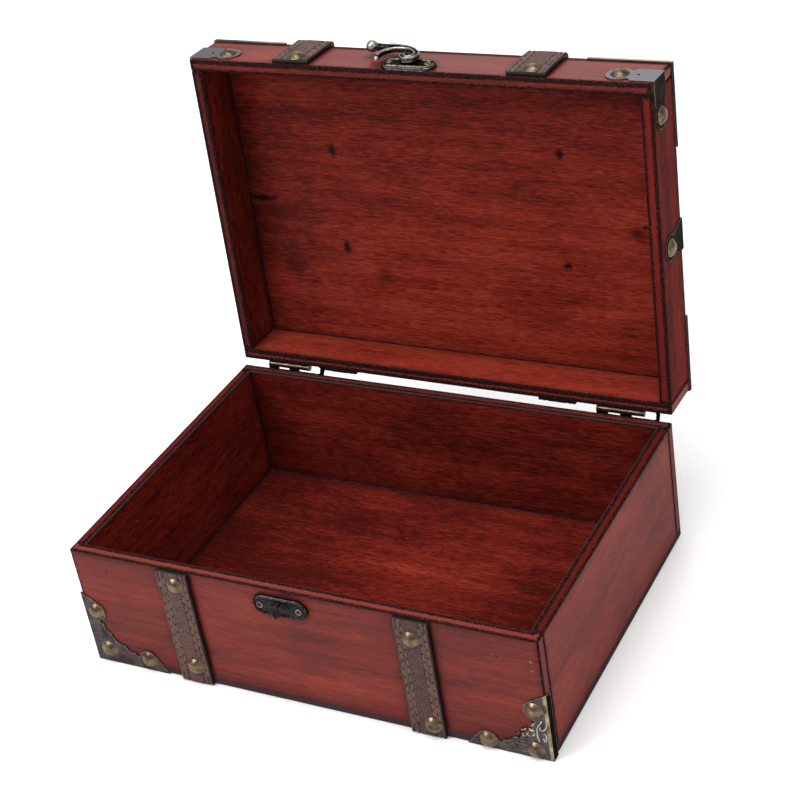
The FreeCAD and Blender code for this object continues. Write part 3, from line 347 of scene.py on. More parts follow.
        # painted highlight: the inner arris of the base is painted pale where it catches the light
        upper = add("Math", {0: spread[2], 1: box["parting"] - 0.95}, operation="GREATER_THAN")
        paintedArrisHighlight = add("MapRange", {
            "Value": depth, "From Min": box["wall"] - stain["paintedArrisHighlightMm"][0],
            "From Max": box["wall"] - stain["paintedArrisHighlightMm"][1], "To Max": 0.5})
        paintedArrisHighlight = add("Math", {0: paintedArrisHighlight, 1: upper}, operation="MULTIPLY")
        colour = add("Mix", {0: paintedArrisHighlight, 6: colour, 7: linear(stain["paintedArrisHighlight"])}, 2, data_type="RGBA")
    satin = add("MapRange", {
        "Value": drawn["cloud"], "From Min": 0.3, "From Max": 0.7, "To Min": 0.26, "To Max": 0.36})
    satin = add("Mix", {0: dark, 2: satin, 3: 0.55}, data_type="FLOAT")
    # satin lacquer on the outside, a wipe of it inside, rubbed off the glazed edges
    lacquer = add("MapRange", {
        "Value": depth, "From Min": 2, "From Max": 0.5, "To Min": 0.06,
        "To Max": stain["gloss"] * board.get("gloss", 1)})
    worn = add("Math", {0: 1, 1: dark}, operation="SUBTRACT")
    lacquer = add("Math", {0: lacquer, 1: worn}, operation="MULTIPLY")
    bump = add("Bump", {"Height": drawn["fibre"], "Strength": 0.12, "Distance": 0.0002})
    # bare stain is matt, the lacquer over it shines
    plug(shader, {
        "Base Color": colour, "Roughness": satin, "IOR": 1.5, "Specular IOR Level": 0, "Normal": bump})
    plug(shader, {"Coat Weight": lacquer, "Coat Roughness": stain["coatRough"]})
    return material


for name, board in boards.items():
    dress(name, stainedPine(name, board))
print("boards stained")


# rubbed metal: a dark patina and painted shade in the hollows and bright metal on the worn edges
def rubbedMetal(name, look):
    material, add, shader = newMaterial(name)
    place = placeInMm(add, look.get("onLid", False))
    spot = add("SeparateXYZ", {0: place}).node.outputs
    reach = add("Math", {0: spot[0]}, operation="ABSOLUTE")
    patch = add("TexNoise", {"Vector": place, "Scale": 1 / look["patchMm"], "Detail": 4, "Roughness": 0.6})
    grit = add("TexNoise", {"Vector": place, "Scale": 1 / look["gritMm"], "Detail": 3, "Roughness": 0.6})
    spread = add("MapRange", {"Value": patch, "From Min": 0.34, "From Max": 0.66})
    colour = add("Mix", {0: spread, 6: linear(look["patina"]), 7: linear(look["metal"])}, 2, data_type="RGBA")
    # the rounded normal leaves the face's own normal near an edge
    smooth = add("Bevel", {"Radius": look["wearMm"] / 1000}, samples=6)
    own = add("NewGeometry", out="Normal")
    together = add("VectorMath", {0: smooth, 1: own}, "Value", operation="DOT_PRODUCT")
    worn = add("MapRange", {"Value": together, "From Min": 0.985, "From Max": 0.9, "To Max": look["wear"]})
    gaps = add("MapRange", {"Value": grit, "From Min": 0.35, "From Max": 0.55})
    worn = add("Math", {0: worn, 1: gaps}, operation="MULTIPLY")
    if "bandMm" in look:
        # a band along the fold on the front of the right plate is rubbed to the metal, and painted bright for
        # the highlight on the rounded fold
        fold = box["halfWide"]
        band = add("MapRange", {
            "Value": spot[0], "From Min": fold + 0.7 - look["bandMm"],
            "From Max": fold + 1.3 - look["bandMm"], "To Max": 0.8})
        facing = add("Math", {0: spot[1], 1: -0.65 - box["halfDeep"]}, operation="LESS_THAN")
        band = add("Math", {0: band, 1: facing}, operation="MULTIPLY")
        band = add("Math", {0: band, 1: spread}, operation="MULTIPLY")
        worn = add("Math", {0: worn, 1: band}, operation="MAXIMUM")
    if "flangeZ" in look:
        # painted light: the lid's sheet in front, facing up with the lid open, is painted a lighter steely
        # grey, and its flange along the fold gets a painted pale reflection, except at the left corner
        facing = add("Math", {0: spot[1], 1: -0.5 - box["halfDeep"]}, operation="LESS_THAN")
        arm = add("Math", {0: spot[2], 1: look["flangeZ"] - 2.2}, operation="LESS_THAN")
        arm = add("Math", {0: arm, 1: facing}, operation="MULTIPLY")
        arm = add("Math", {0: arm, 1: 0.8}, operation="MULTIPLY")
        colour = add("Mix", {0: arm, 6: colour, 7: linear(look["litFaceTone"])}, 2, data_type="RGBA")
        top = add("Math", {0: spot[2], 1: look["flangeZ"]}, operation="GREATER_THAN")
        top = add("Math", {0: top, 1: facing}, operation="MULTIPLY")
        along = add("MapRange", {
            "Value": spot[0], "From Min": look["glintFrom"], "From Max": look["glintTo"], "To Min": 0.1,
            "To Max": 0.85})
        top = add("Math", {0: top, 1: along}, operation="MULTIPLY")
        worn = add("Math", {0: worn, 1: top}, operation="MAXIMUM")
    if "endShade" in look:
        # painted shade: the sheet on the box ends, facing away from the light, is painted near black
        end = add("MapRange", {
            "Value": reach, "From Min": box["halfWide"] + 0.4, "From Max": box["halfWide"] + 0.7,
            "To Max": look["endShade"]})
        colour = add("Mix", {0: end, 6: colour, 7: linear(look["sootAndShade"])}, 2, data_type="RGBA")
    if "shadedEarsFrom" in look:
        # painted shade: the stop ears past the ends of the barrel are painted black and kept unworn
        ear = add("Math", {0: reach, 1: hinge["middle"]}, operation="SUBTRACT")
        ear = add("Math", {0: ear}, operation="ABSOLUTE")
        ear = add("Math", {0: ear, 1: look["shadedEarsFrom"]}, operation="GREATER_THAN")
        colour = add("Mix", {0: ear, 6: colour, 7: linear(look["sootAndShade"])}, 2, data_type="RGBA")
        worn = add("Math", {0: worn, 1: ear}, operation="SUBTRACT", use_clamp=True)
    for x, y, z, radius in look.get("handled", ()):
        # fingers keep these knobs bright
        apart = add("VectorMath", {0: place, 1: (x, y, z)}, "Value", operation="DISTANCE")
        knob = add("MapRange", {"Value": apart, "From Min": radius, "From Max": 0.85 * radius, "To Max": 0.6})
        worn = add("Math", {0: worn, 1: knob}, operation="MAXIMUM")
    colour = add("Mix", {0: worn, 6: colour, 7: linear(look["bright"])}, 2, data_type="RGBA")
    # the nooks within 3 mm go dark: blackening left in the hollows, and painted shade where a part meets what
    # it sits on
    near = add("AmbientOcclusion", {"Distance": 0.003}, "AO", samples=6)  # 3 mm nooks
    hollow = add("MapRange", {"Value": near, "From Min": 0.75, "From Max": 0.3, "To Max": look["hollow"]})
    colour = add("Mix", {0: hollow, 6: colour, 7: linear(look["sootAndShade"])}, 2, data_type="RGBA")
    rough = add("MapRange", {"Value": grit, "To Min": look["rough"] - 0.1, "To Max": look["rough"] + 0.14})
    bump = add("Bump", {"Height": grit, "Strength": look["bump"], "Distance": 0.0003})
    tint = (look.get("glare", 1),) * 3 + (1,)  # the oxide skin dulls a grazing look
    plug(shader, {
        "Base Color": colour, "Roughness": rough, "Metallic": 1, "Specular Tint": tint, "Normal": bump})
    return material


# pressed brass nail heads: olive patina, polished high on the dome, a dark ring of painted shade at the foot
antiqueBrass = rubbedMetal("antique_brass", {
    "patina": "#45392e", "metal": "#806b54", "bright": "#c2b69f", "sootAndShade": "#0c0907",
    "patchMm": 5, "gritMm": 1.2, "wearMm": 0.5, "wear": 0.4, "hollow": 0.95, "rough": 0.32, "bump": 0.2})
# stamped bronze sheet: grey-brown ground, rubbed to pale brass on every cut edge
stampedBronze = rubbedMetal("stamped_bronze", {
    "patina": "#3a3637", "metal": "#5f5757", "bright": "#c0b08a", "sootAndShade": "#120d0c",
    "bandMm": 2.4, "endShade": 0.7, "glare": 0.3,
    "patchMm": 7, "gritMm": 0.9, "wearMm": 0.8, "wear": 0.85, "hollow": 0.6, "rough": 0.42, "bump": 0.3})
# the lid's own stampings came out blacker
darkBronze = rubbedMetal("dark_stamped_bronze", {
    "patina": "#443d39", "metal": "#615a52", "bright": "#cbc3b0", "sootAndShade": "#120f0d",
    "litFaceTone": "#908e94", "flangeZ": 127.6, "glintFrom": -152, "glintTo": -126,
    "endShade": 0.7, "onLid": True, "glare": 0.4,
    "patchMm": 7, "gritMm": 0.9, "wearMm": 0.45, "wear": 0.9, "hollow": 0.6, "rough": 0.36, "bump": 0.3})
# raised parts of the stamping, polished back to brass
rubbedBrass = rubbedMetal("rubbed_brass", {
    "patina": "#7b756b", "metal": "#b6b0a5", "bright": "#e2ddd4", "sootAndShade": "#0a0806",
    "patchMm": 4, "gritMm": 0.8, "wearMm": 0.3, "wear": 0.5, "hollow": 0.7, "rough": 0.24, "bump": 0.1})
# cast latch pieces: blackened in the hollows, tumbled smooth, so the high parts shine
castBronze = rubbedMetal("cast_bronze", {
    "patina": "#282626", "metal": "#4d4949", "bright": "#dad5cc", "sootAndShade": "#0b0a0a",
    "onLid": True, "glare": 0.3, "handled": [(-34.4, -122.7, 114.0, 4.4), (-22.6, -121.5, 96.3, 2.3)],
    "patchMm": 5, "gritMm": 1.4, "wearMm": 0.55, "wear": 0.8, "hollow": 0.8, "rough": 0.26, "bump": 0.08})
# hinge leaves: thin plate, the barrels rubbed to a dull bronze
hingeBronze = rubbedMetal("hinge_bronze", {
    "patina": "#3f372f", "metal": "#675b4d", "bright": "#ab9f8b", "sootAndShade": "#0a0908",
    "shadedEarsFrom": 17.5, "glare": 0.3,
    "patchMm": 5, "gritMm": 1.0, "wearMm": 0.4, "wear": 0.6, "hollow": 0.85, "rough": 0.3, "bump": 0.2})
# the catch: blackened nearly all over, its edges worn grey
blackBronze = rubbedMetal("blackened_bronze", {
    "patina": "#1e1c1d", "metal": "#3b393b", "bright": "#7d7771", "sootAndShade": "#070606", "glare": 0.3,
    "patchMm": 6, "gritMm": 1.2, "wearMm": 0.5, "wear": 0.75, "hollow": 0.85, "rough": 0.4, "bump": 0.12})
# the lid plate's rim, rubbed brown
rimBronze = rubbedMetal("rim_bronze", {
    "patina": "#3a332c", "metal": "#7d7264", "bright": "#c8bdab", "sootAndShade": "#060505", "glare": 0.3,
    "patchMm": 5, "gritMm": 1.4, "wearMm": 0.4, "wear": 0.5, "hollow": 0.9, "rough": 0.26, "bump": 0.08})
# bronzed steel screws and pins
bronzedSteel = rubbedMetal("bronzed_steel", {
    "patina": "#4a4540", "metal": "#7a7369", "bright": "#b5aea3", "sootAndShade": "#080706",
    "patchMm": 4, "gritMm": 0.8, "wearMm": 0.4, "wear": 0.7, "hollow": 0.95, "rough": 0.32, "bump": 0.2})
for name in cad:
    if name.endswith("_nails"):
        dress(name, antiqueBrass)
    elif name.endswith(("_screws", "_brads", "_pin")):
        dress(name, bronzedSteel)
    elif name == "latch_catch":
        dress(name, blackBronze)
    elif name.startswith("latch_"):
        dress(name, castBronze)
    elif name.startswith("hinge_"):
        dress(name, hingeBronze)
    elif "corner" in name or "clip" in name:
        dress(name, darkBronze if name.startswith("lid_") else stampedBronze)
print("metals finished")


# half-round bead along a path of (point, out) pairs; width may change along it
def raisedBead(path, widths, closed, points, faces, tall=0.9):
    flats = 6
    row = flats + 1
    count = len(path)
    start = len(points)
    for n, (point, out) in enumerate(path):
        before = path[n - 1][0] if n or closed else point
        after = path[(n + 1) % count][0] if n < count - 1 or closed else point
        side = (after - before).cross(out).normalized()
        for q in range(row):
            turn = math.pi * q / flats
            points.append(point + widths[n] * (math.cos(turn) * side + tall * math.sin(turn) * out))
    for n in range(count if closed else count - 1):
        a, b = start + row * n, start + row * ((n + 1) % count)
        for q in range(flats):
            faces.append((a + q, a + q + 1, b + q + 1, b + q))


# smooth curve through given points
def curveThrough(knots, steps):
    ends = [2 * knots[0] - knots[1]] + list(knots) + [2 * knots[-1] - knots[-2]]
    line = []
    for n in range(len(knots) - 1):
        p0, p1, p2, p3 = ends[n:n + 4]
        for i in range(steps):
            t = i / steps
            bend, twist = 2 * p0 - 5 * p1 + 4 * p2 - p3, 3 * p1 - p0 - 3 * p2 + p3
            line.append(0.5 * (2 * p1 + (p2 - p0) * t + bend * t * t + twist * t ** 3))
    return line + [knots[-1]]


# leaf scrolls stamped into the legs of the corner plates, (in from the edge, along the leg) in mm
scroll = {
    "strokes": [
        [(4.0, 30.8), (5.0, 28.4), (6.6, 26.2), (7.4, 24.4)],
        [(1.6, 31.4), (1.1, 29.1), (1.7, 25.9), (3.1, 23.5), (5.0, 22.7), (6.0, 24.0), (5.3, 25.4)],
        [(8.0, 24.2), (7.9, 21.3), (8.1, 18.2), (7.7, 15.3), (7.2, 12.9)],
        [(10.4, 20.1), (10.1, 18.6), (10.8, 17.1), (11.7, 17.1)],
        [(4.0, 20.3), (2.6, 19.7), (2.4, 17.3), (3.1, 14.6), (4.2, 15.8), (3.8, 17.6)],
        [(12.9, 22.9), (11.9, 21.1), (9.5, 21.4)],
        [(13.4, 19.6), (14.6, 18.2), (14.0, 16.6), (12.6, 16.2)],
        [(14.8, 22.4), (16.2, 20.8), (18.4, 20.0)],
        [(16.6, 18.2), (17.7, 16.6), (17.0, 15.0)],
        [(9.4, 27.6), (10.2, 25.6), (11.9, 24.8)],
    ],
    "width": 0.7, "ends": 0.35, "sheet": 0.8, "steps": 6,
}
# the box corner each plate stands on; one leg in front is rubbed bright
plates = {"base_corner_plate_right": {"side": 1, "end": -1, "level": 0.8, "rubbedLeg": 1}}
for end, way in (("front", -1), ("back", 1)):
    for side, across in (("left", -1), ("right", 1)):
        plates[f"lid_corner_plate_{end}_{side}"] = {
            "side": across, "end": way, "level": box["high"], "rubbedLeg": None}
for name, plate in plates.items():
    onLid = name.startswith("lid_")
    out = Vector((0, 0, 1)) if onLid else Vector((0, -1, 0))
    inDepth = Vector((0, -plate["end"], 0)) if onLid else Vector((0, 0, 1))
    legs = (Vector((-plate["side"], 0, 0)), inDepth)
    corner = Vector((plate["side"] * box["halfWide"], plate["end"] * box["halfDeep"], plate["level"]))
    points, faces, slots = [], [], []
    for leg in (0, 1):
        alongLeg, inward = legs[leg], legs[1 - leg]
        for stroke in scroll["strokes"]:
            knots = [corner + u * inward + v * alongLeg + scroll["sheet"] * out for u, v in stroke]
            line = curveThrough(knots, scroll["steps"])
            swell = [math.sin(math.pi * (0.1 + 0.8 * n / (len(line) - 1))) for n in range(len(line))]
            widths = [scroll["width"] * (scroll["ends"] + (1 - scroll["ends"]) * s) for s in swell]
            before = len(faces)
            raisedBead([(p, out) for p in line], widths, False, points, faces)
            slots += [1 if plate["rubbedLeg"] == leg else 0] * (len(faces) - before)
    ground = darkBronze if onLid else stampedBronze
    body = "lid" if onLid else "base"
    makePiece("scrolls_" + name, points, faces, [ground, rubbedBrass], body, slots)
print("corner plates chased")

# latch plates: a beaded rim, and on the catch a fine line inside it
latch = {
    "reach": 19.0, "half": 6.9, "face": -117.9, "screwsOut": 13.9,
    "rimInset": 1.3, "rimWidth": 0.9, "rimStep": 0.3, "beadMm": 4.7,
    "lineInset": 3.0, "lineWidth": 0.4, "lineStep": 0.6,
    "places": {"latch_plate": (-1.7, 99.9), "latch_catch": (-7.6, 80.0)},
    "beadDeep": {"latch_plate": 0.12, "latch_catch": 0.36},
}


# even steps round a plate with half-round ends
def roundedLoop(middle, inset, step):
    half = latch["half"] - inset
    straight = latch["reach"] - latch["half"]
    around = 4 * straight + 2 * math.pi * half
    count = 2 * int(around / step / 2)
    loop = []
    for n in range(count):
        run = around * n / count
        if run < 2 * straight:
            across, along = -straight + run, -half
        elif run < 2 * straight + math.pi * half:
            turn = (run - 2 * straight) / half - math.pi / 2
            across, along = straight + half * math.cos(turn), half * math.sin(turn)
        elif run < 4 * straight + math.pi * half:
            across, along = straight - (run - 2 * straight - math.pi * half), half
        else:
            turn = (run - 4 * straight - math.pi * half) / half + math.pi / 2
            across, along = -straight + half * math.cos(turn), half * math.sin(turn)
        point = Vector((middle[0] + across, latch["face"], middle[1] + along))
        loop.append((point, Vector((0, -1, 0))))
    return loop, around


for name, middle in latch["places"].items():
    onLid = name == "latch_plate"
    points, faces = [], []
    loop, around = roundedLoop(middle, latch["rimInset"], latch["rimStep"])
    waves = 2 * math.pi * round(around / latch["beadMm"]) / len(loop)
    widths = [latch["rimWidth"] + latch["beadDeep"][name] * math.cos(waves * n) for n in range(len(loop))]
    raisedBead(loop, widths, True, points, faces)
    if not onLid:
        loop, around = roundedLoop(middle, latch["lineInset"], latch["lineStep"])
        raisedBead(loop, [latch["lineWidth"]] * len(loop), True, points, faces)
    bronze, body = (rimBronze, "lid") if onLid else (blackBronze, "base")
    makePiece("rim_" + name, points, faces, [bronze], body)
print("latch plates beaded")

# screws: a raised ring round a dished cross recess, the dish given the blackened bronze as painted shade
crossHead = {
    "radius": 2.5, "height": 0.9, "crown": 0.12, "dish": 0.62, "dishDeep": 0.7, "shoulder": 0.82,
    "slotHalf": 0.4, "slotReach": 1.7, "slotDeep": 0.85, "slotSlope": 0.12, "endSlope": 0.3,
    "rings": 22, "spokes": 56, "shadedRecessRings": 11,
    "onHinges": {"hinge_base_screws": 84.5, "hinge_lid_screws": 103.85}, "hingeFace": 116.4, "hingeApart": 10,
}
screwSeats = {}
for name in ("latch_catch", "latch_plate"):
    x, z = latch["places"][name]
    screwSeats[name + "_screws"] = [(x + s * latch["screwsOut"], latch["face"], z) for s in (-1, 1)]
for name, z in crossHead["onHinges"].items():
    across = [m + s * crossHead["hingeApart"] for m in (-hinge["middle"], hinge["middle"]) for s in (-1, 1)]
    screwSeats[name] = [(x, crossHead["hingeFace"], z) for x in across]


def headHeight(radius, turn, twist):
    share = radius / crossHead["radius"]
    height = crossHead["height"] * (1 - crossHead["crown"] * share ** 2)
    dish, shoulder = crossHead["dish"], crossHead["shoulder"]
    if share < dish:
        height -= crossHead["dishDeep"] * (1 - (share / dish) ** 3)
    if share > shoulder:
        height -= 0.5 * crossHead["height"] * ((share - shoulder) / (1 - shoulder)) ** 2
    across, along = radius * math.cos(turn - twist), radius * math.sin(turn - twist)
    for side, end in ((abs(across), abs(along)), (abs(along), abs(across))):
        slope = (crossHead["slotHalf"] - side) / crossHead["slotSlope"]
        wall = min(slope, (crossHead["slotReach"] - end) / crossHead["endSlope"], 1)
        if wall > 0:
            height = min(height, crossHead["height"] - crossHead["slotDeep"] * wall)
    return height


for name, seats in screwSeats.items():
    body = "lid" if name in ("latch_plate_screws", "hinge_lid_screws") else "base"
    out = Vector((0, -1 if name.startswith("latch_") else 1, 0))
    rings, spokes = crossHead["rings"], crossHead["spokes"]
    points, faces, slots = [], [], []
    for number, seat in enumerate(seats):
        twist = 0.4 + 1.1 * number + len(name)
        start = len(points)
        for ring in range(rings + 2):
            radius = crossHead["radius"] * min(ring + 0.02, rings) / rings
            for spoke in range(spokes):
                turn = 2 * math.pi * spoke / spokes
                height = headHeight(radius, turn, twist) if ring <= rings else 0
                spot = radius * Vector((math.cos(turn), 0, math.sin(turn)))
                points.append(Vector(seat) + spot + height * out)
        for ring in range(rings + 1):
            for spoke in range(spokes):
                a, b = start + ring * spokes + spoke, start + ring * spokes + (spoke + 1) % spokes
                quad = (a, b, b + spokes, a + spokes)
                faces.append(quad if out.y > 0 else quad[::-1])
                # rings inside the dish take the blackened bronze: painted shade in the recess
                slots.append(1 if ring < crossHead["shadedRecessRings"] else 0)
    steels = [bronzedSteel, blackBronze]
    heads = makePiece("cross_" + name, points, faces, steels, body, slots)
    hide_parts(name)
print("screws driven")

# hook: raised rims that run from the thumb ball and the prong into the scroll on the eye,
# (reach, degrees) round the pivot in mm
hookRims = {
    "pivot": (-1.7, 101.7), "face": -122.8, "tall": 1.5, "thin": 0.4, "steps": 7,
    "widths": {"arm": 0.6, "prong": 0.8},
    "arm": [(33.3, 150.5), (27.0, 141), (18.3, 123.5), (12.4, 103), (8.7, 80), (6.9, 50), (6.1, 10),
            (6.0, -40), (6.0, -90), (6.0, -140), (6.0, -185)],
    "prong": [(21.6, 193), (20.9, 178), (20.2, 164), (17.8, 148), (14.0, 131), (10.8, 115), (7.9, 101),
              (5.5, 82), (4.1, 50), (3.5, 5), (3.4, -50), (3.4, -105), (3.5, -155), (3.7, -195)],
}
points, faces = [], []
for strand, width in hookRims["widths"].items():
    knots = []
    for reach, degrees in hookRims[strand]:
        turn = math.radians(degrees)
        x, z = hookRims["pivot"][0] + reach * math.cos(turn), hookRims["pivot"][1] + reach * math.sin(turn)
        knots.append(Vector((x, hookRims["face"], z)))
    line = curveThrough(knots, hookRims["steps"])
    widths = [width * (1 - hookRims["thin"] * n / len(line)) for n in range(len(line))]
    raisedBead([(p, Vector((0, -1, 0))) for p in line], widths, False, points, faces, hookRims["tall"])
makePiece("rims_latch_hook", points, faces, [rubbedBrass], "hook")
print("hook chased")

# split cowhide, dyed brown and waxed: pebbled grain, dull sheen, paler and redder along the stitched borders,
# partly the leather's own and partly painted sheen on the raised borders, strongest on the lid straps
leather = {
    "dark": "#301d1b", "brown": "#553833", "dry": "#876a62", "border": "#7d5a4a", "shadow": "#140b09",
    "pebbleMm": 1.4, "patchMm": 9, "crumbMm": 0.9, "nookMm": 3,
}
splitLeather, add, shader = newMaterial("split_leather")
place = placeInMm(add)
# pebbles coarser than hide, so that they show
pebble = add("TexVoronoi", {"Vector": place, "Scale": 1 / leather["pebbleMm"]})
patch = add("TexNoise", {"Vector": place, "Scale": 1 / leather["patchMm"], "Detail": 4, "Roughness": 0.65})
crumb = add("TexNoise", {"Vector": place, "Scale": 1 / leather["crumbMm"], "Detail": 3})
spread = add("MapRange", {"Value": patch, "From Min": 0.3, "From Max": 0.7})
colour = add("Mix", {0: spread, 6: linear(leather["dark"]), 7: linear(leather["brown"])}, 2, data_type="RGBA")
dry = add("MapRange", {"Value": crumb, "From Min": 0.44, "From Max": 0.66, "To Max": 0.5})
colour = add("Mix", {0: dry, 6: colour, 7: linear(leather["dry"])}, 2, data_type="RGBA")
pore = add("MapRange", {"Value": pebble, "From Min": 0.35, "From Max": 0.7, "To Max": 0.55})
colour = add("Mix", {0: pore, 6: colour, 7: linear(leather["dark"])}, 2, data_type="RGBA")
# the pale border is partly painted sheen on the raised leather beside the stitching
border = add("Attribute", out="Fac", attribute_name="border")
border = add("Math", {0: border, 1: spread}, operation="MULTIPLY")
colour = add("Mix", {0: border, 6: colour, 7: linear(leather["border"])}, 2, data_type="RGBA")
crease = add("Attribute", out="Fac", attribute_name="crease")
colour = add("Mix", {0: crease, 6: colour, 7: linear(leather["shadow"])}, 2, data_type="RGBA")
near = add("AmbientOcclusion", {"Distance": leather["nookMm"] / 1000}, "AO", samples=4)
shade = add("MapRange", {"Value": near, "From Min": 0.85, "From Max": 0.45, "To Max": 0.85})
colour = add("Mix", {0: shade, 6: colour, 7: linear(leather["shadow"])}, 2, data_type="RGBA")
rough = add("MapRange", {"Value": crumb, "To Min": 0.46, "To Max": 0.7})
bump = add("Bump", {"Height": pebble, "Strength": 0.7, "Distance": 0.0004})
plug(shader, {"Base Color": colour, "Roughness": rough, "Specular IOR Level": 0.2, "Normal": bump})

# leather edge painted black and rubbed
edgePaint, add, shader = newMaterial("black_edge_paint")
place = placeInMm(add)
crumb = add("TexNoise", {"Vector": place, "Scale": 1 / 1.5, "Detail": 4})
colour = add("Mix", {0: crumb, 6: linear("#060505"), 7: linear("#1d1918")}, 2, data_type="RGBA")
bump = add("Bump", {"Height": crumb, "Strength": 0.3, "Distance": 0.0003})
plug(shader, {"Base Color": colour, "Roughness": 0.55, "Specular IOR Level": 0.2, "Normal": bump})

# waxed linen thread: tan, twisted
waxedThread, add, shader = newMaterial("waxed_linen_thread")
place = placeInMm(add)
twist = add("TexNoise", {"Vector": place, "Scale": 1 / 0.7, "Detail": 2})
colour = add("Mix", {0: twist, 6: linear("#503329"), 7: linear("#8f6a55")}, 2, data_type="RGBA")
bump = add("Bump", {"Height": twist, "Strength": 0.4, "Distance": 0.0003})
plug(shader, {"Base Color": colour, "Roughness": 0.6, "Normal": bump})

# straps: a band with softened edges, two sunk stitch rows along each side
strap = {
    "width": {"base": 23.6, "lid": 26.9}, "thick": 3.3, "round": 1.3, "drop": 0.55, "endDrop": 0.4,
    "across": 64, "wobble": 0.35, "wobbleMm": 11, "uneven": 0.12,
    "rows": (2.5, 5.9), "rowHalf": 0.95, "sink": 0.55, "pitch": 6.4, "stagger": 0.4, "stitch": 5.6,
    "thread": 0.4, "proud": {"base": 0.3, "lid": 0.02}, "dive": 0.75, "threadSides": 6,
    "painted": 2, "borderTintAndSheen": {"base": 0.6, "lid": 1.0}, "seat": 0.02,
    "foot": 0.6, "tops": {"front": 90.8, "back": 89}, "lidHeights": [94.1 + i for i in range(35)] + [128.7],
}


# stations are (place along, point on the wood, way out), in millimetres with the lid shut
def strapStations(kind, middle):
    deep, high = box["halfDeep"], box["high"]
    stations = []
    if kind == "lid":
        bends = [math.radians(90 * i / 8) for i in range(1, 8)]
        stations += [((middle, -deep, z), (0, -1, 0)) for z in strap["lidHeights"]]
        stations += [((middle, -deep, high), (0, -math.cos(turn), math.sin(turn))) for turn in bends]
        stations += [((middle, i + 0.5 - deep, high), (0, 0, 1)) for i in range(int(2 * deep))]
        stations += [((middle, deep, high), (0, math.sin(turn), math.cos(turn))) for turn in bends]
        stations += [((middle, deep, z), (0, 1, 0)) for z in reversed(strap["lidHeights"])]
    else:
        way = -1 if kind == "front" else 1
        steps, tall = 90, strap["tops"][kind] - strap["foot"]
        for i in range(steps + 1):
            stations.append(((middle, way * deep, strap["foot"] + tall * i / steps), (0, way, 0)))
    placed, run, before = [], 0, None
    for point, out in stations:
        outer = Vector(point) + strap["thick"] * Vector(out)
        run += (outer - before).length if before else 0
        before = outer
        placed.append((run, Vector(point), Vector(out)))
    return placed


def strapRise(across, run, seed, width):
    inset = width / 2 - abs(across)
    rise = strap["thick"]
    if inset < strap["round"]:
        rise -= strap["drop"] * (1 - inset / strap["round"]) ** 2
    crease = 0
    for number, row in enumerate(strap["rows"]):
        gap = (inset - row) / strap["rowHalf"]
        hole = math.cos(math.pi * (run / strap["pitch"] - strap["stagger"] * number)) ** 8
        rise -= strap["sink"] * (0.6 + 0.6 * hole) * math.exp(-gap * gap)
        crease = max(crease, (0.8 + 0.2 * hole) * math.exp(-gap * gap))
    rise += strap["uneven"] * noise.noise((across / 6, run / 9, seed))
    return rise, crease


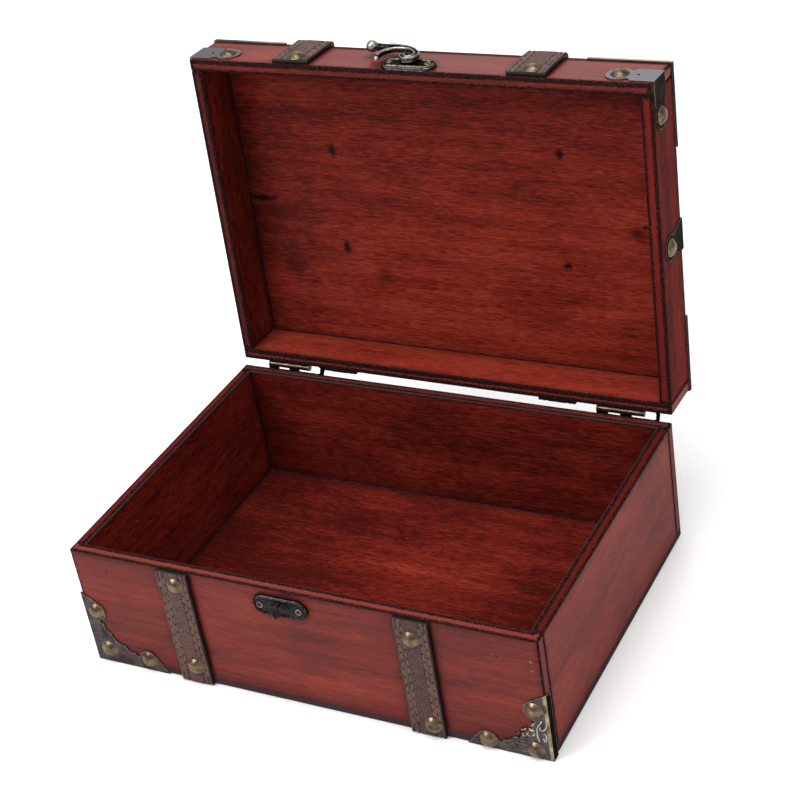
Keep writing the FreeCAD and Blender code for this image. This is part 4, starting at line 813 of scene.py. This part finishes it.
def leatherStrap(name, kind, middle, seed, dim):
    body = "lid" if kind == "lid" else "base"
    stations = strapStations(kind, middle)
    length = stations[-1][0]
    width = strap["width"][body]
    count = strap["across"]
    points, under, creases, borders, faces, slots = [], [], [], [], [], []
    for run, point, out in stations:
        end = min(run, length - run)
        for i in range(count + 1):
            across = width * (i / count - 0.5)
            rise, crease = strapRise(across, run, seed, width)
            if end < 1.0:
                rise -= strap["endDrop"] * (1 - end) ** 2
            wobble = strap["wobble"] * noise.noise((run / strap["wobbleMm"], math.copysign(3, across), seed))
            edge = point + Vector((across + wobble * (2 * abs(i / count - 0.5)) ** 3, 0, 0))
            points.append(edge + rise * out)
            under.append(edge + strap["seat"] * out)
            creases.append(max(crease, dim))
            fromRow = width / 2 - abs(across) - strap["rows"][1]
            borders.append(strap["borderTintAndSheen"][body] * min(max(0.5 - fromRow, 0), 1))
    top = len(points)
    points += under
    creases += [0.5] * top
    borders += [0] * top
    wide = count + 1
    last = len(stations) - 1
    for j in range(last):
        for i in range(count):
            a = j * wide + i
            faces.append((a, a + wide, a + wide + 1, a + 1))
            slots.append(1 if min(i, count - 1 - i) < strap["painted"] else 0)
            faces.append((top + a, top + a + 1, top + a + wide + 1, top + a + wide))
            slots.append(0)
        a, b = j * wide, j * wide + count
        faces.append((a, top + a, top + a + wide, a + wide))
        faces.append((b, b + wide, top + b + wide, top + b))
        slots += [1, 1]
    for i in range(count):
        a, b = i, last * wide + i
        faces.append((a, a + 1, top + a + 1, top + a))
        faces.append((b, top + b, top + b + 1, b + 1))
        slots += [1, 1]
    hides = [splitLeather, edgePaint]
    band = makePiece("leather_" + name, points, faces, hides, body, slots)
    for layer, amounts in (("crease", creases), ("border", borders)):
        band.data.attributes.new(layer, "FLOAT", "POINT").data.foreach_set("value", amounts)
    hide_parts(name)
    # stitches dive into the leather at both ends
    threads, threadFaces = [], []
    for side in (-1, 1):
        for row, inset in enumerate(strap["rows"]):
            across = side * (width / 2 - inset)
            k = 1
            while (k + 1 + strap["stagger"] * row) * strap["pitch"] < length - 1:
                middleRun = (k + 0.5 + strap["stagger"] * row) * strap["pitch"]
                slant = 0.3 * noise.noise((k * 1.7, across, seed))
                rings = []
                for t in (-1, -0.8, -0.4, 0, 0.4, 0.8, 1):
                    run = middleRun + t * strap["stitch"] / 2
                    nearest = min(range(len(stations)), key=lambda n: abs(stations[n][0] - run))
                    near = stations[nearest]
                    other = stations[min(max(nearest + (1 if run > near[0] else -1), 0), last)]
                    share = (run - near[0]) / (other[0] - near[0]) if other[0] != near[0] else 0
                    point = near[1].lerp(other[1], share)
                    out = near[2].lerp(other[2], share).normalized()
                    rise = strap["thick"] - strap["sink"] + strap["proud"][body] - strap["dive"] * abs(t) ** 3
                    rings.append((point + Vector((across + slant * t, 0, 0)) + rise * out, out))
                start, sides = len(threads), strap["threadSides"]
                for centre, out in rings:
                    for q in range(sides):
                        turn = 2 * math.pi * q / sides
                        offset = Vector((math.cos(turn), 0, 0)) + 0.8 * math.sin(turn) * out
                        threads.append(centre + strap["thread"] * offset)
                for ring in range(len(rings) - 1):
                    for q in range(sides):
                        a, b = start + sides * ring + q, start + sides * ring + (q + 1) % sides
                        threadFaces.append((a, b, b + sides, a + sides))
                k += 1
    makePiece("stitches_" + name, threads, threadFaces, [waxedThread], body)


# the right-hand base straps are a little darker
strapPairs = {"left": {"middle": -85.5, "dim": 0}, "right": {"middle": 83.5, "dim": 0.24}}
for side, pair in strapPairs.items():
    middle, dim = pair["middle"], pair["dim"]
    leatherStrap("base_front_strap_" + side, "front", middle, middle, dim)
    leatherStrap("base_back_strap_" + side, "back", middle, middle + 5, dim)
    leatherStrap("lid_strap_" + side, "lid", middle - 1.3, middle + 9, 0)
print("straps cut and stitched")
